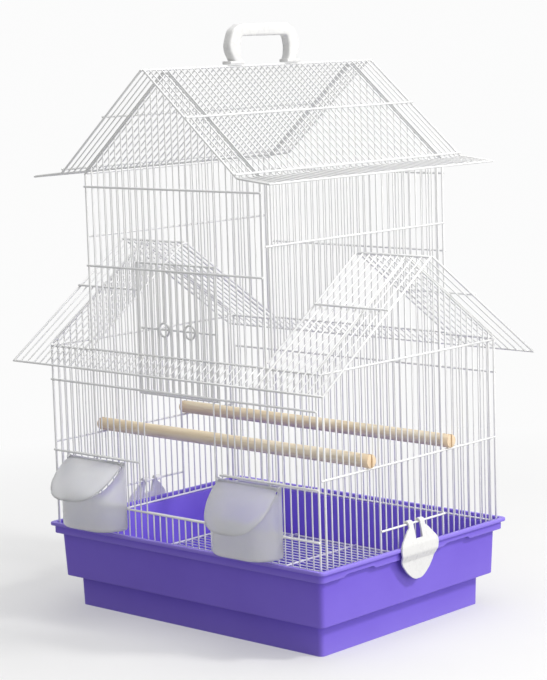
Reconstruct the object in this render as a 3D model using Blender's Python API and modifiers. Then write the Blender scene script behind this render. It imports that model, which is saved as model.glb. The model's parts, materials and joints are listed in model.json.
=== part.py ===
"""A bird cage of white wire: a gabled tower stands over a wider house, and both stand on a plastic tray.

+X runs along the front wall, +Y to the back and +Z up. The origin is the bottom centre of the tray.
Each wall and roof slope is a panel of thin wires, welded into thicker rails at both ends.
"""

import math

import bmesh
import bpy
import numpy as np
from mathutils import Matrix, Vector

# Wire, and the fits between pieces
WIRE = 0.0018
RAIL = 0.0026
STILE = 0.0028
FIT = 0.0003  # clearance between two neighbouring pieces
WELD_GAP = 0.0002  # a thin wire passes this far behind a rail that only the stiles carry
TIP = 0.0015  # how far a rail's end stands past the last wire
PITCH = 0.0105

# Plan of the cage
CAGE_LENGTH = 0.4305
CAGE_DEPTH = 0.3255
TOWER_LENGTH = 0.2835

# Tray
TRAY_WALL = 0.0022
TRAY_FOOT_HEIGHT = 0.038
TRAY_SEAT_HEIGHT = 0.1002  # the flange on which the walls stand
TRAY_STEP = 0.013
TRAY_INSET = 0.001
TRAY_DRAFT = 0.0025
TRAY_FOOT_DRAFT = 0.001
TRAY_CORNER = 0.006
RIM_BAND = 0.0055
RIM_RISE = 0.0062
RIM_EDGE = 0.0042  # height of the rim's outer edge
LIP_SET_IN = 0.0038  # from that edge back to the lip under it
LIP_DEPTH = 0.0076
LIP_WALL = 0.0024
RIM_CHAMFER = 0.0007

# Floor grate
GRATE_PLAY = 0.003

# House walls, above the seat
SILL_RISE = 0.0378
DOOR_OPENING_HEIGHT = 0.1475
DOOR_OPENING_LENGTH = 0.1155
FEEDER_OPENING_HEIGHT = 0.0595
FEEDER_OPENING_LENGTH = 0.0945
LEFT_FEEDER_INSET = 0.07875  # from the wall's end to the middle of the opening
RIGHT_FEEDER_INSET = 0.09975
MID_RAIL_SETBACK = 0.00825  # from the door opening to the ends of the middle rails
PERCH_RAIL_RISE = 0.1068
WALL_HEIGHT = 0.2308  # from the seat to where the lower roof meets the front wall
GABLE_RAIL_DROP = 0.005

# Lower roof
LOWER_SLOPE = math.radians(34.7)
EAVE_OVERHANG = 0.031
SIDE_OVERHANG = 0.036
LOWER_RAIL_Y = 0.079

# Tower
TOWER_HEIGHT = 0.2115  # from the lower eaves line to the bend of the upper roof
TOWER_LOWER_RAIL_RISE = 0.0985
TOWER_UPPER_RAIL_DROP = 0.0185
TOWER_SIDE_RAIL_RISE = 0.133

# Upper roof
UPPER_SLOPE = math.radians(40.4)
GABLE_OVERHANG = 0.0375
UPPER_RAIL_X = 0.066
BEND_RAIL_SETBACK = 0.003
LIP_REACH = 0.048
LIP_FALL = 0.005

# Front door, raised
DOOR_SIDE_LAP = 0.00525
DOOR_END_LAP = 0.00375
FINGER_RING_X = 0.021
FINGER_RING_RADIUS = 0.0080
FINGER_RING_SIDES = 16

# Perches
PERCH_DIAMETER = 0.016
PERCH_REACH = 0.00675  # past the plane of the side wires
PERCH_SLOT_DEPTH = 0.0085
PERCH_SIDES = 20
FRONT_PERCH_Y = -0.07875
BACK_PERCH_Y = 0.06825

# Feeder cups
CUP_LENGTH = 0.096
CUP_DEPTH = 0.034
CUP_WALL = 0.002
CUP_DROP = 0.026  # the bottom lies this far below the sill rail
CUP_CORNER = 0.030
CUP_BOTTOM_ROUND = 0.005
CUP_BACK_RISE = 0.0034
CUP_ARC_STEPS = 6
TAB_WIDTH = 0.010
TAB_THICKNESS = 0.0018
TAB_SPACING = 0.060
TAB_LEG = 0.0085
HINGE_RISE = 0.055  # above the sill rail
EAR_WALL = 0.0023
PIN_DIAMETER = 0.002

# Feeder hoods
HOOD_SLOPE = math.radians(50)
HOOD_LENGTH = 0.066
HOOD_WIDTH = 0.097
HOOD_WALL = 0.0018
HOOD_DOME = 0.012
HOOD_SQUARENESS = 2.8
HOOD_LIFT = 0.001
HOOD_RING_STEPS = 5
HOOD_FAN_STEPS = 14
BARREL_RADIUS = 0.0026
SHOULDER_START = 0.0075
LEFT_HOOD_RAISED = math.radians(11)

# Clips
CLIP_BAR_LENGTH = 0.1155
CLIP_BAR_RISE = 0.0308
CLIP_THICKNESS = 0.0022
CLIP_HALF_WIDTH = 0.034
CLIP_FALL = 0.0367  # from the underside of the rim's edge to the tip
CLIP_TUCK = 0.0042
CLIP_TUCK_FALL = 0.0052
CLIP_TUCK_LENGTH = 0.0084
CLIP_SLOT_DEPTH = 0.017
CLIP_EAR_MARGIN = 0.006  # the outline's ears pass this far over the bar
CLIP_SHIELD_BELOW = (  # (share of the half width, share of the fall, corner radius), from the tip up
    (0.35, 0.85, 0.004),
    (0.77, 0.496, 0.012),
    (0.97, 0.142, 0.008),
)
CLIP_SHIELD_ABOVE = (  # (share of the half width, share of the way up to the bar, corner radius)
    (1.0, 0.097, 0.004),
    (0.88, 0.375, 0.003),
    (0.53, 0.757, 0.006),
)
CLIP_EAR_ROOT = 0.86  # share of that way at which the ears turn plumb
CLIP_EAR_ROUND = 0.004
CLIP_SLOT_DIP = 0.002
CATCH_WIDTH = 0.020
CATCH_HEIGHT = 0.0024
CATCH_REACH = 0.0019
CURL_STEPS = 8

# Handle
HANDLE_THICKNESS = 0.014
HANDLE_HEIGHT = 0.0474
HANDLE_EDGE = 0.0015
HANDLE_GRIP = 0.0148
HANDLE_FOOT_OUT = 0.062
HANDLE_FOOT_IN = 0.038
HANDLE_WIDEST = 0.0635
HANDLE_GRIP_ROUND = 0.006
HANDLE_INSIDE = (  # (out from the foot's inner edge, share of the height, corner radius), from the top down
    (0.005, 0.42, 0.02),
    (0.004, 0.17, 0.01),
    (0.0, 0.0, 0.0),
)
HANDLE_FOOT = (  # (in from the foot's outer edge, share of the height, corner radius), from the ridge up
    (0.0, 0.0, 0.001),
    (0.001, 0.053, 0.001),
    (0.0087, 0.085, 0.003),
)
HANDLE_OUTSIDE = (  # (share of the widest half, share of the height, corner radius), from the foot up
    (1.0, 0.41, 0.02),
    (0.87, 0.852, 0.014),
    (0.66, 1.0, 0.015),
)

# Values that follow
TAU = 2 * math.pi
HALF_LENGTH = CAGE_LENGTH / 2
HALF_DEPTH = CAGE_DEPTH / 2
HALF_TOWER = TOWER_LENGTH / 2
LEFT_FEEDER_X = -HALF_LENGTH + LEFT_FEEDER_INSET
RIGHT_FEEDER_X = HALF_LENGTH - RIGHT_FEEDER_INSET
OUTER_RAIL = WIRE / 2 + WELD_GAP + RAIL / 2
REBATE = WIRE / 2 + WELD_GAP + RAIL + FIT
WALL_END = STILE / 2 + FIT
FOOT_RAIL_Z = TRAY_SEAT_HEIGHT + FIT + RAIL / 2
SILL_Z = TRAY_SEAT_HEIGHT + SILL_RISE
DOOR_HEAD_Z = SILL_Z + DOOR_OPENING_HEIGHT
FEEDER_HEAD_Z = SILL_Z + FEEDER_OPENING_HEIGHT
PERCH_RAIL_Z = TRAY_SEAT_HEIGHT + PERCH_RAIL_RISE
EAVES_Z = TRAY_SEAT_HEIGHT + WALL_HEIGHT
BEND_Z = EAVES_Z + TOWER_HEIGHT
RIDGE_Z = BEND_Z + HALF_TOWER * math.tan(UPPER_SLOPE)
RIM_TOP_Z = TRAY_SEAT_HEIGHT + RIM_RISE
RIM_UNDER_Z = RIM_TOP_Z - RIM_EDGE
LIP_BOTTOM_Z = TRAY_SEAT_HEIGHT - LIP_DEPTH
RAIL_CORNER = RAIL / math.sqrt(2)  # from the middle of a rail to its edges
RIDGE_RAIL = RAIL_CORNER + FIT / 2
RIDGE_FLAT = RIDGE_RAIL + RAIL_CORNER  # a gable's top rail runs level under the ridge rails
CUP_BACK_Y = -(HALF_DEPTH + REBATE)
EAR_RADIUS = PIN_DIAMETER / 2 + FIT + EAR_WALL
HINGE_Y = CUP_BACK_Y - EAR_RADIUS - FIT / 2  # the ears pass the wall's rails as the cup is lifted
HINGE_Z = SILL_Z + HINGE_RISE
DOOR_Y = -(HALF_DEPTH - STILE / 2 - FIT - RAIL / 2)
CLIP_BAR_Z = TRAY_SEAT_HEIGHT + CLIP_BAR_RISE

parts = bpy.data.collections.new("bird_cage")
guides = bpy.data.collections.new("bird_cage_guides")


def start_scene():
    """An empty scene with one collection for the parts and one for the helpers."""
    for thing in list(bpy.data.objects):
        bpy.data.objects.remove(thing, do_unlink=True)
    scene = bpy.context.scene
    scene.collection.children.link(parts)
    scene.collection.children.link(guides)


def principled(name, colour, roughness, metallic=0.0, alpha=1.0):
    """A plain material with the piece's own colour and gloss."""
    made = bpy.data.materials.new(name)
    made.use_nodes = True
    shader = made.node_tree.nodes["Principled BSDF"]
    shader.inputs["Base Color"].default_value = (*colour, 1.0)
    shader.inputs["Roughness"].default_value = roughness
    shader.inputs["Metallic"].default_value = metallic
    shader.inputs["Alpha"].default_value = alpha
    made.diffuse_color = (*colour, alpha)
    return made


def white_wire():
    return principled("white_coated_wire", (0.86, 0.87, 0.86), 0.35, 0.1)


def purple_tray():
    return principled("purple_plastic", (0.13, 0.075, 0.55), 0.3)


def pale_wood():
    return principled("pale_wood", (0.72, 0.52, 0.30), 0.7)


def frosted_plastic():
    return principled("frosted_plastic", (0.62, 0.65, 0.70), 0.3, alpha=0.75)


def white_plastic():
    return principled("white_plastic", (0.88, 0.88, 0.87), 0.35)


def shade_round(thing, angle=40):
    """Smooth shading, apart from edges sharper than the angle."""
    thing.data.shade_smooth()
    thing.data.set_sharp_from_angle(angle=math.radians(angle))


def new_object(name, built, collection, material=None):
    """An object that holds a finished bmesh."""
    data = bpy.data.meshes.new(name)
    built.to_mesh(data)
    built.free()
    thing = bpy.data.objects.new(name, data)
    collection.objects.link(thing)
    if material:
        data.materials.append(material)
    if collection == guides:
        thing.hide_render = True
        thing.display_type = "WIRE"
    return thing


def curve_to_bmesh(curve, built):
    """Adds the evaluated curve to the bmesh, with its caps welded on."""
    holder = bpy.data.objects.new(curve.name, curve)
    guides.objects.link(holder)
    bpy.context.view_layer.update()
    graph = bpy.context.evaluated_depsgraph_get()
    copy = bpy.data.meshes.new_from_object(holder.evaluated_get(graph))
    built.from_mesh(copy)
    bmesh.ops.remove_doubles(built, verts=built.verts, dist=1e-6)
    bpy.data.objects.remove(holder)
    bpy.data.curves.remove(curve)
    bpy.data.meshes.remove(copy)


def bars(name, sets, collection=guides, material=None, lean=0.0, closed=False):
    """Square wires as one mesh. Each set is (thickness, paths). lean turns their sections onto a slope."""
    built = bmesh.new()
    for thickness, paths in sets:
        curve = bpy.data.curves.new(name, "CURVE")
        curve.dimensions = "3D"
        curve.twist_mode = "MINIMUM" if closed else "Z_UP"
        curve.bevel_depth = thickness / math.sqrt(2)
        curve.bevel_resolution = 0
        curve.use_fill_caps = True
        for path in paths:
            spline = curve.splines.new("POLY")
            spline.points.add(len(path) - 1)
            for point, place in zip(spline.points, path):
                point.co = (*place, 1.0)
                point.tilt = math.pi / 4 + lean
            spline.use_cyclic_u = closed
        curve_to_bmesh(curve, built)
    return new_object(name, built, collection, material)


def plate(name, outline, thickness, centre_x, collection=guides, material=None):
    """A flat outline in the YZ plane, as thick as asked along X."""
    curve = bpy.data.curves.new(name, "CURVE")
    curve.dimensions = "2D"
    curve.fill_mode = "BOTH"
    curve.extrude = thickness / 2
    spline = curve.splines.new("POLY")
    spline.points.add(len(outline) - 1)
    for point, (y, z) in zip(spline.points, outline):
        point.co = (y, z, 0.0, 1.0)
    spline.use_cyclic_u = True
    built = bmesh.new()
    curve_to_bmesh(curve, built)
    turn = Matrix(((0, 0, 1), (1, 0, 0), (0, 1, 0))).to_4x4()
    built.transform(Matrix.Translation((centre_x, 0, 0)) @ turn)
    if built.calc_volume(signed=True) < 0:
        bmesh.ops.reverse_faces(built, faces=built.faces)
    return new_object(name, built, collection, material)


def block(name, low, high, turn=None, collection=guides, material=None):
    """A box between two corners, turned about the origin if asked."""
    built = bmesh.new()
    bmesh.ops.create_cube(built, size=1.0)
    low, high = Vector(low), Vector(high)
    size = high - low
    built.transform(Matrix.Translation((low + high) / 2) @ Matrix.Diagonal((*size, 1.0)))
    if turn:
        built.transform(turn)
    return new_object(name, built, collection, material)


def rod(name, centre, radius, length, sides, collection=guides, material=None):
    """A cylinder along X."""
    built = bmesh.new()
    place = Matrix.Translation(centre) @ Matrix.Rotation(math.pi / 2, 4, "Y")
    bmesh.ops.create_cone(
        built, cap_ends=True, segments=sides, radius1=radius, radius2=radius, depth=length, matrix=place
    )
    return new_object(name, built, collection, material)


def loft(rings):
    """A closed skin through rings of as many points each, with the first and last ring filled."""
    built = bmesh.new()
    loops = [[built.verts.new(place) for place in ring] for ring in rings]
    for lower, upper in zip(loops, loops[1:]):
        for i in range(len(lower)):
            built.faces.new((lower[i - 1], lower[i], upper[i], upper[i - 1]))
    for loop in (loops[0], loops[-1]):
        built.faces.new(loop)
    bmesh.ops.recalc_face_normals(built, faces=built.faces)
    return built


def combine(thing, other, operation="UNION"):
    """A live Boolean with a helper that follows the piece."""
    modifier = thing.modifiers.new(operation.lower(), "BOOLEAN")
    modifier.operation = operation
    modifier.object = other
    modifier.solver = "EXACT"
    other.parent = thing
    other.matrix_parent_inverse = thing.matrix_world.inverted()


def put_origin(thing, place):
    """Moves only the piece's origin, to a point on its joint's axis."""
    place = Vector(place)
    thing.data.transform(Matrix.Translation(-place))
    thing.location = place
    bpy.context.view_layer.update()
    for helper in thing.children:
        helper.matrix_parent_inverse = thing.matrix_world.inverted()


def arc(centre, radius, start, end, steps):
    """Points on a circle, in its plane, from one angle to another."""
    angles = np.linspace(start, end, steps + 1)
    return [(centre[0] + radius * math.cos(a), centre[1] + radius * math.sin(a)) for a in angles]


def filleted(points, steps=3):
    """An outline whose corners (a, b, radius) are rounded."""
    rounded = []
    for i, (a, b, radius) in enumerate(points):
        here = Vector((a, b))
        before = Vector(points[i - 1][:2]) - here
        after = Vector(points[(i + 1) % len(points)][:2]) - here
        if radius <= 0:
            rounded.append(tuple(here))
            continue
        half = before.angle(after) / 2
        cut = min(radius / math.tan(half), 0.45 * before.length, 0.45 * after.length)
        first = here + before.normalized() * cut
        last = here + after.normalized() * cut
        for share in np.linspace(0, 1, steps + 1):
            rounded.append(tuple((1 - share) ** 2 * first + 2 * share * (1 - share) * here + share**2 * last))
    return rounded


def mirrored(half):
    """A closed outline from its right half, whose points run from the bottom middle to the top middle."""
    other = [(-point[0], *point[1:]) for point in reversed(half) if abs(point[0]) > 1e-9]
    return half + other


def spread(low, high):
    """Even places from low to high, close to one pitch apart."""
    spaces = max(1, round((high - low) / PITCH))
    return list(np.linspace(low, high, spaces + 1))


def columns(zones, fixed):
    """Places of the wires: even in each zone, clear of the fixed ones, which are added. fixed: {place: room}."""
    even = {round(float(place), 7) for low, high in zones for place in spread(low, high)}
    kept = [place for place in even if all(abs(place - at) > room for at, room in fixed.items())]
    return sorted(kept + list(fixed))


def lower_roof_z(y):
    return EAVES_Z + (HALF_DEPTH - abs(y)) * math.tan(LOWER_SLOPE)


def upper_roof_z(x):
    return RIDGE_Z - abs(x) * math.tan(UPPER_SLOPE)


def rake_drop(slope):
    """How far a wall's sloping top rail lies below the wires of the roof over it."""
    return (WIRE / 2 + FIT + RAIL / 2) / math.cos(slope)


def panel(name, wires, stiles, *rail_sets, lean=0.0):
    """A welded panel: its upright wires, united with each set of rails in turn."""
    made = bars(name, [(WIRE, wires), (STILE, stiles)], parts, wire_finish)
    for i, paths in enumerate(rail_sets):
        combine(made, bars(f"{name}_rails_{i + 1}", [(RAIL, paths)], lean=lean))
    return made


# Panels of the front and the back

def end_wall_top(x):
    """Height at which an upright wire of the front or back wall ends."""
    if abs(x) > HALF_TOWER + WIRE / 2:
        return EAVES_Z - (STILE / 2) / math.cos(LOWER_SLOPE) - RAIL / 2 * (1 + math.tan(LOWER_SLOPE)) - FIT
    return upper_roof_z(max(abs(x), RIDGE_FLAT)) - rake_drop(UPPER_SLOPE)


def end_wall(name, side, openings, outer_rails):
    """The front or back wall with its tower gable. openings: (left, right, bottom, top)."""
    y = side * HALF_DEPTH
    outer_y = side * (HALF_DEPTH + OUTER_RAIL)
    posts = [-HALF_LENGTH, -HALF_TOWER, HALF_TOWER, HALF_LENGTH]
    edges = [edge for opening in openings for edge in opening[:2]]
    zones = [(-HALF_LENGTH, -HALF_TOWER), (-HALF_TOWER, HALF_TOWER), (HALF_TOWER, HALF_LENGTH)]
    wires, stiles = [], []
    for x in columns(zones, {place: 0.55 * PITCH for place in posts + edges}):
        runs = [(FOOT_RAIL_Z, end_wall_top(x))]
        for left, right, bottom, top in openings:
            if left < x < right:
                runs = [(FOOT_RAIL_Z, bottom), (top, end_wall_top(x))]
        group = stiles if x in posts else wires
        group += [[(x, y, low), (x, y, high)] for low, high in runs]
    shoulder_z = end_wall_top(HALF_LENGTH)
    end = HALF_LENGTH + TIP
    rake_end = HALF_TOWER + TIP
    rake_end_z = end_wall_top(HALF_TOWER) - TIP * math.tan(UPPER_SLOPE)
    crown_z = end_wall_top(0)
    rake = [(-rake_end, rake_end_z), (-RIDGE_FLAT, crown_z), (RIDGE_FLAT, crown_z), (rake_end, rake_end_z)]
    flush = [
        [(-end, y, FOOT_RAIL_Z), (end, y, FOOT_RAIL_Z)],
        [(-end, y, shoulder_z), (-HALF_TOWER, y, shoulder_z)],
        [(HALF_TOWER, y, shoulder_z), (end, y, shoulder_z)],
        [(x, y, z) for x, z in rake],
    ]
    for left, right, bottom, top in openings:
        flush += [[(left, y, z), (right, y, z)] for z in (bottom, top)]
    outer = [[(low, outer_y, z), (high, outer_y, z)] for low, high, z in outer_rails]
    return panel(name, wires, stiles, flush, outer)


def front_openings():
    half_door = DOOR_OPENING_LENGTH / 2
    half_feeder = FEEDER_OPENING_LENGTH / 2
    found = [(-half_door, half_door, SILL_Z, DOOR_HEAD_Z)]
    for centre in (LEFT_FEEDER_X, RIGHT_FEEDER_X):
        found.append((centre - half_feeder, centre + half_feeder, SILL_Z, FEEDER_HEAD_Z))
    return found


def make_end_walls():
    end = HALF_LENGTH + TIP
    tower_end = HALF_TOWER + TIP
    middle = DOOR_OPENING_LENGTH / 2 + MID_RAIL_SETBACK
    tower_rails = [
        (-tower_end, tower_end, EAVES_Z + TOWER_LOWER_RAIL_RISE),
        (-tower_end, tower_end, BEND_Z - TOWER_UPPER_RAIL_DROP),
    ]
    house_rails = [(-end, end, SILL_Z), (-end, end, DOOR_HEAD_Z)]
    front_only = [(-end, -middle, FEEDER_HEAD_Z), (middle, end, FEEDER_HEAD_Z)]
    end_wall("front_wall", -1, front_openings(), house_rails + front_only + tower_rails)
    end_wall("back_wall", 1, [], house_rails[1:] + tower_rails)


# Panels of the sides

def side_columns(fixed):
    """Places of the side wires between the front and back walls."""
    found = columns([(-HALF_DEPTH, HALF_DEPTH)], fixed)
    return [y for y in found if abs(y) < HALF_DEPTH - PITCH / 2]


def sloping_rail(x, rise):
    """Path of a rail along both slopes of the lower roof, clear of the front and back walls."""
    end = HALF_DEPTH - WALL_END - RAIL / 2 * math.sin(LOWER_SLOPE)
    return [(x, y, lower_roof_z(y) + rise) for y in (-end, -RIDGE_FLAT, RIDGE_FLAT, end)]


def side_wall(name, side):
    """A side wall of the house, with the bar that its clip hangs on."""
    x = side * HALF_LENGTH
    outer_x = side * (HALF_LENGTH + OUTER_RAIL)
    room = 0.55 * PITCH
    perch_room = max(room, PERCH_DIAMETER / 2 + WIRE / 2 + FIT)
    posts = [sign * place for place in (HALF_DEPTH - PITCH, CLIP_BAR_LENGTH / 2) for sign in (-1, 1)]
    fixed = {post: room for post in posts}
    fixed |= {sign * share * PITCH: 0.45 * PITCH for share in (0.5, 1.5) for sign in (-1, 1)}
    fixed |= {FRONT_PERCH_Y: perch_room, BACK_PERCH_Y: perch_room}
    drop = rake_drop(LOWER_SLOPE)
    wires, stiles = [], []
    for y in side_columns(fixed):
        group = stiles if y in posts else wires
        group.append([(x, y, FOOT_RAIL_Z), (x, y, lower_roof_z(max(abs(y), RIDGE_FLAT)) - drop)])
    end = HALF_DEPTH - WALL_END
    clip_end = CLIP_BAR_LENGTH / 2 + TIP
    flush = [
        [(x, -end, FOOT_RAIL_Z), (x, end, FOOT_RAIL_Z)],
        sloping_rail(x, -drop),
    ]
    outer = [[(outer_x, -end, z), (outer_x, end, z)] for z in (PERCH_RAIL_Z, EAVES_Z - GABLE_RAIL_DROP)]
    outer.append([(outer_x, -clip_end, CLIP_BAR_Z), (outer_x, clip_end, CLIP_BAR_Z)])
    return panel(name, wires, stiles, flush, outer)


def tower_side(name, side):
    """A side wall of the tower. Its lower edge follows the slopes of the lower roof."""
    x = side * HALF_TOWER
    outer_x = side * (HALF_TOWER + OUTER_RAIL)
    lip_slope = math.atan2(LIP_FALL, LIP_REACH)
    top = BEND_Z - (WIRE / 2) / math.cos(UPPER_SLOPE) - RAIL / 2 * (1 + math.tan(lip_slope)) - FIT
    end = HALF_DEPTH - WALL_END
    posts = [sign * (HALF_DEPTH - PITCH) for sign in (-1, 1)]
    wires, stiles = [], []
    for y in side_columns({post: 0.55 * PITCH for post in posts}):
        group = stiles if y in posts else wires
        group.append([(x, y, lower_roof_z(max(abs(y), RIDGE_FLAT))), (x, y, top)])
    rail_z = EAVES_Z + TOWER_SIDE_RAIL_RISE
    flush = [sloping_rail(x, 0), [(x, -end, top), (x, end, top)]]
    return panel(name, wires, stiles, flush, [[(outer_x, -end, rail_z), (outer_x, end, rail_z)]])


# Panels of the roofs

def wing_roof(name, side, end_side):
    """One slope of the lower roof beside the tower."""
    eave_y = end_side * (HALF_DEPTH + EAVE_OVERHANG)
    eave_z = lower_roof_z(eave_y)
    ridge_y = end_side * RIDGE_RAIL
    ridge_z = lower_roof_z(ridge_y)
    inner = HALF_TOWER + STILE / 2 + FIT
    rake = HALF_LENGTH + SIDE_OVERHANG
    found = columns([(HALF_TOWER, HALF_LENGTH), (HALF_LENGTH, rake)], {})
    found = [x for x in found if x > inner + WIRE]
    posts = (found[0], found[-1])
    wires, stiles = [], []
    for x in found:
        group = stiles if x in posts else wires
        group.append([(side * x, eave_y, eave_z), (side * x, ridge_y, ridge_z)])
    low, high = side * inner, side * (rake + TIP)
    raised_y = end_side * (LOWER_RAIL_Y + OUTER_RAIL * math.sin(LOWER_SLOPE))
    raised_z = lower_roof_z(LOWER_RAIL_Y) + OUTER_RAIL * math.cos(LOWER_SLOPE)
    flush = [[(low, y, z), (high, y, z)] for y, z in ((eave_y, eave_z), (ridge_y, ridge_z))]
    raised = [[(low, raised_y, raised_z), (high, raised_y, raised_z)]]
    return panel(name, wires, stiles, flush, raised, lean=-side * end_side * LOWER_SLOPE)


def skirt(name, end_side):
    """The lower roof's overhang along the tower's front or back."""
    eave_y = end_side * (HALF_DEPTH + EAVE_OVERHANG)
    top_y = end_side * (HALF_DEPTH + STILE / 2 + FIT + RAIL_CORNER)
    posts = (-HALF_TOWER, HALF_TOWER)
    lines = [(eave_y, lower_roof_z(eave_y)), (top_y, lower_roof_z(top_y))]
    wires = [[(x, y, z) for y, z in lines] for x in columns([posts], {})]
    end = HALF_TOWER + RAIL / 2
    flush = [[(-end, y, z), (end, y, z)] for y, z in lines]
    return panel(name, wires, [], flush, lean=-end_side * LOWER_SLOPE)


def upper_roof(name, side):
    """One slope of the upper roof, with its flared lip, in wires bent over the tower wall."""
    rake = HALF_DEPTH + GABLE_OVERHANG
    zones = [(-rake, -HALF_DEPTH), (-HALF_DEPTH, HALF_DEPTH), (HALF_DEPTH, rake)]
    line = [
        (side * RIDGE_RAIL, upper_roof_z(RIDGE_RAIL)),
        (side * HALF_TOWER, BEND_Z),
        (side * (HALF_TOWER + LIP_REACH), BEND_Z - LIP_FALL),
    ]
    found = columns(zones, {})
    posts = (found[0], found[-1])
    wires, stiles = [], []
    for y in found:
        group = stiles if y in posts else wires
        group.append([(x, y, z) for x, z in line])
    end = rake + TIP
    flush = [[(x, -end, z), (x, end, z)] for x, z in (line[0], line[2])]
    raised = []
    for x in (UPPER_RAIL_X, HALF_TOWER - BEND_RAIL_SETBACK):
        out = x + OUTER_RAIL * math.sin(UPPER_SLOPE)
        up = upper_roof_z(x) + OUTER_RAIL * math.cos(UPPER_SLOPE)
        raised.append([(side * out, -end, up), (side * out, end, up)])
    return panel(name, wires, stiles, flush, raised, lean=-side * UPPER_SLOPE)


# Door, perches and grate

def front_door():
    """The sliding door, raised. Its two finger rings lie half way up."""
    half = DOOR_OPENING_LENGTH / 2 + DOOR_SIDE_LAP
    bottom = DOOR_HEAD_Z - DOOR_END_LAP
    top = bottom + DOOR_OPENING_HEIGHT + 2 * DOOR_END_LAP
    middle = (bottom + top) / 2
    ring_room = FINGER_RING_RADIUS + RAIL / 2 + WIRE / 2 + WELD_GAP
    fixed = {sign * FINGER_RING_X: ring_room for sign in (-1, 1)}
    wires = []
    stiles = [[(x, DOOR_Y, bottom), (x, DOOR_Y, top)] for x in (-half, half)]
    for x in columns([(-half, half)], fixed)[1:-1]:
        runs = [(bottom, top)]
        if x in fixed:
            runs = [(bottom, middle - FINGER_RING_RADIUS), (middle + FINGER_RING_RADIUS, top)]
        wires += [[(x, DOOR_Y, low), (x, DOOR_Y, high)] for low, high in runs]
    end = half + TIP
    rail_y = DOOR_Y + OUTER_RAIL
    made = panel(
        "front_door", wires, stiles,
        [[(-end, DOOR_Y, z), (end, DOOR_Y, z)] for z in (bottom, top)],
    )
    rings = []
    for x in fixed:
        turn = TAU / FINGER_RING_SIDES
        points = arc((x, middle), FINGER_RING_RADIUS, 0, TAU - turn, FINGER_RING_SIDES - 1)
        rings.append([(px, DOOR_Y, pz) for px, pz in points])
    combine(made, bars("front_door_rings", [(RAIL, rings)], closed=True))
    middle_rail = [[(-end, rail_y, middle), (end, rail_y, middle)]]
    combine(made, bars("front_door_middle", [(RAIL, middle_rail)]))
    put_origin(made, (0, DOOR_Y, bottom))


def perch(name, y):
    """A round wooden perch. Its slotted ends straddle a wire and lie on the side walls' rails."""
    radius = PERCH_DIAMETER / 2
    z = PERCH_RAIL_Z + RAIL / 2 + FIT + radius
    end = HALF_LENGTH + PERCH_REACH
    made = rod(name, (0, y, z), radius, 2 * end, PERCH_SIDES, parts, wood_finish)
    half_slot = WIRE / 2 + FIT
    for side, word in ((-1, "left"), (1, "right")):
        near, far = sorted((side * (end - PERCH_SLOT_DEPTH), side * (end + PERCH_SLOT_DEPTH)))
        low = (near, y - half_slot, z - PERCH_DIAMETER)
        high = (far, y + half_slot, z + PERCH_DIAMETER)
        combine(made, block(f"{name}_slot_{word}", low, high), "DIFFERENCE")
    put_origin(made, (0, y, z))
    shade_round(made)


def rounded_ring(half_x, half_y, radius, z, steps=3):
    """A rectangle with round corners, as a ring of points."""
    ring = []
    for turn, (sx, sy) in enumerate(((1, 1), (-1, 1), (-1, -1), (1, -1))):
        centre = (sx * (half_x - radius), sy * (half_y - radius))
        start = turn * math.pi / 2
        ring += [(x, y, z) for x, y in arc(centre, radius, start, start + math.pi / 2, steps)]
    return ring


def tray_profile():
    """Offsets from the plane of the walls, and heights, from under the tray round to its floor."""
    body = -TRAY_INSET
    shelf = body - TRAY_DRAFT
    foot = shelf - TRAY_STEP
    bottom = foot - TRAY_FOOT_DRAFT
    band = REBATE + RIM_BAND
    lip = band - LIP_SET_IN
    under = TRAY_SEAT_HEIGHT - TRAY_WALL
    floor = TRAY_WALL
    shelf_z = TRAY_FOOT_HEIGHT + TRAY_WALL
    outside = [
        (bottom - RIM_CHAMFER, 0),
        (bottom, RIM_CHAMFER),
        (foot, TRAY_FOOT_HEIGHT),
        (shelf, TRAY_FOOT_HEIGHT),
        (body, under),
        (lip - LIP_WALL, under),
        (lip - LIP_WALL, LIP_BOTTOM_Z),
        (lip, LIP_BOTTOM_Z),
        (lip, RIM_UNDER_Z),
        (band - RIM_CHAMFER, RIM_UNDER_Z),
        (band, RIM_UNDER_Z + RIM_CHAMFER),
        (band, RIM_TOP_Z - RIM_CHAMFER),
        (band - RIM_CHAMFER, RIM_TOP_Z),
        (REBATE + RIM_CHAMFER, RIM_TOP_Z),
        (REBATE, RIM_TOP_Z - RIM_CHAMFER),
        (REBATE, TRAY_SEAT_HEIGHT),
    ]
    inside = [
        (body - TRAY_WALL, TRAY_SEAT_HEIGHT),
        (shelf - TRAY_WALL, shelf_z),
        (foot - TRAY_WALL, shelf_z),
        (bottom - TRAY_WALL, floor),
    ]
    return outside, inside


def tray():
    outside, inside = tray_profile()
    rings = [
        rounded_ring(HALF_LENGTH + offset, HALF_DEPTH + offset, TRAY_CORNER, z)
        for offset, z in outside
    ]
    rings += [
        rounded_ring(HALF_LENGTH + offset, HALF_DEPTH + offset, TRAY_CORNER - TRAY_WALL, z)
        for offset, z in inside
    ]
    made = new_object("tray", loft(rings), parts, tray_finish)
    shade_round(made, 25)


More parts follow.
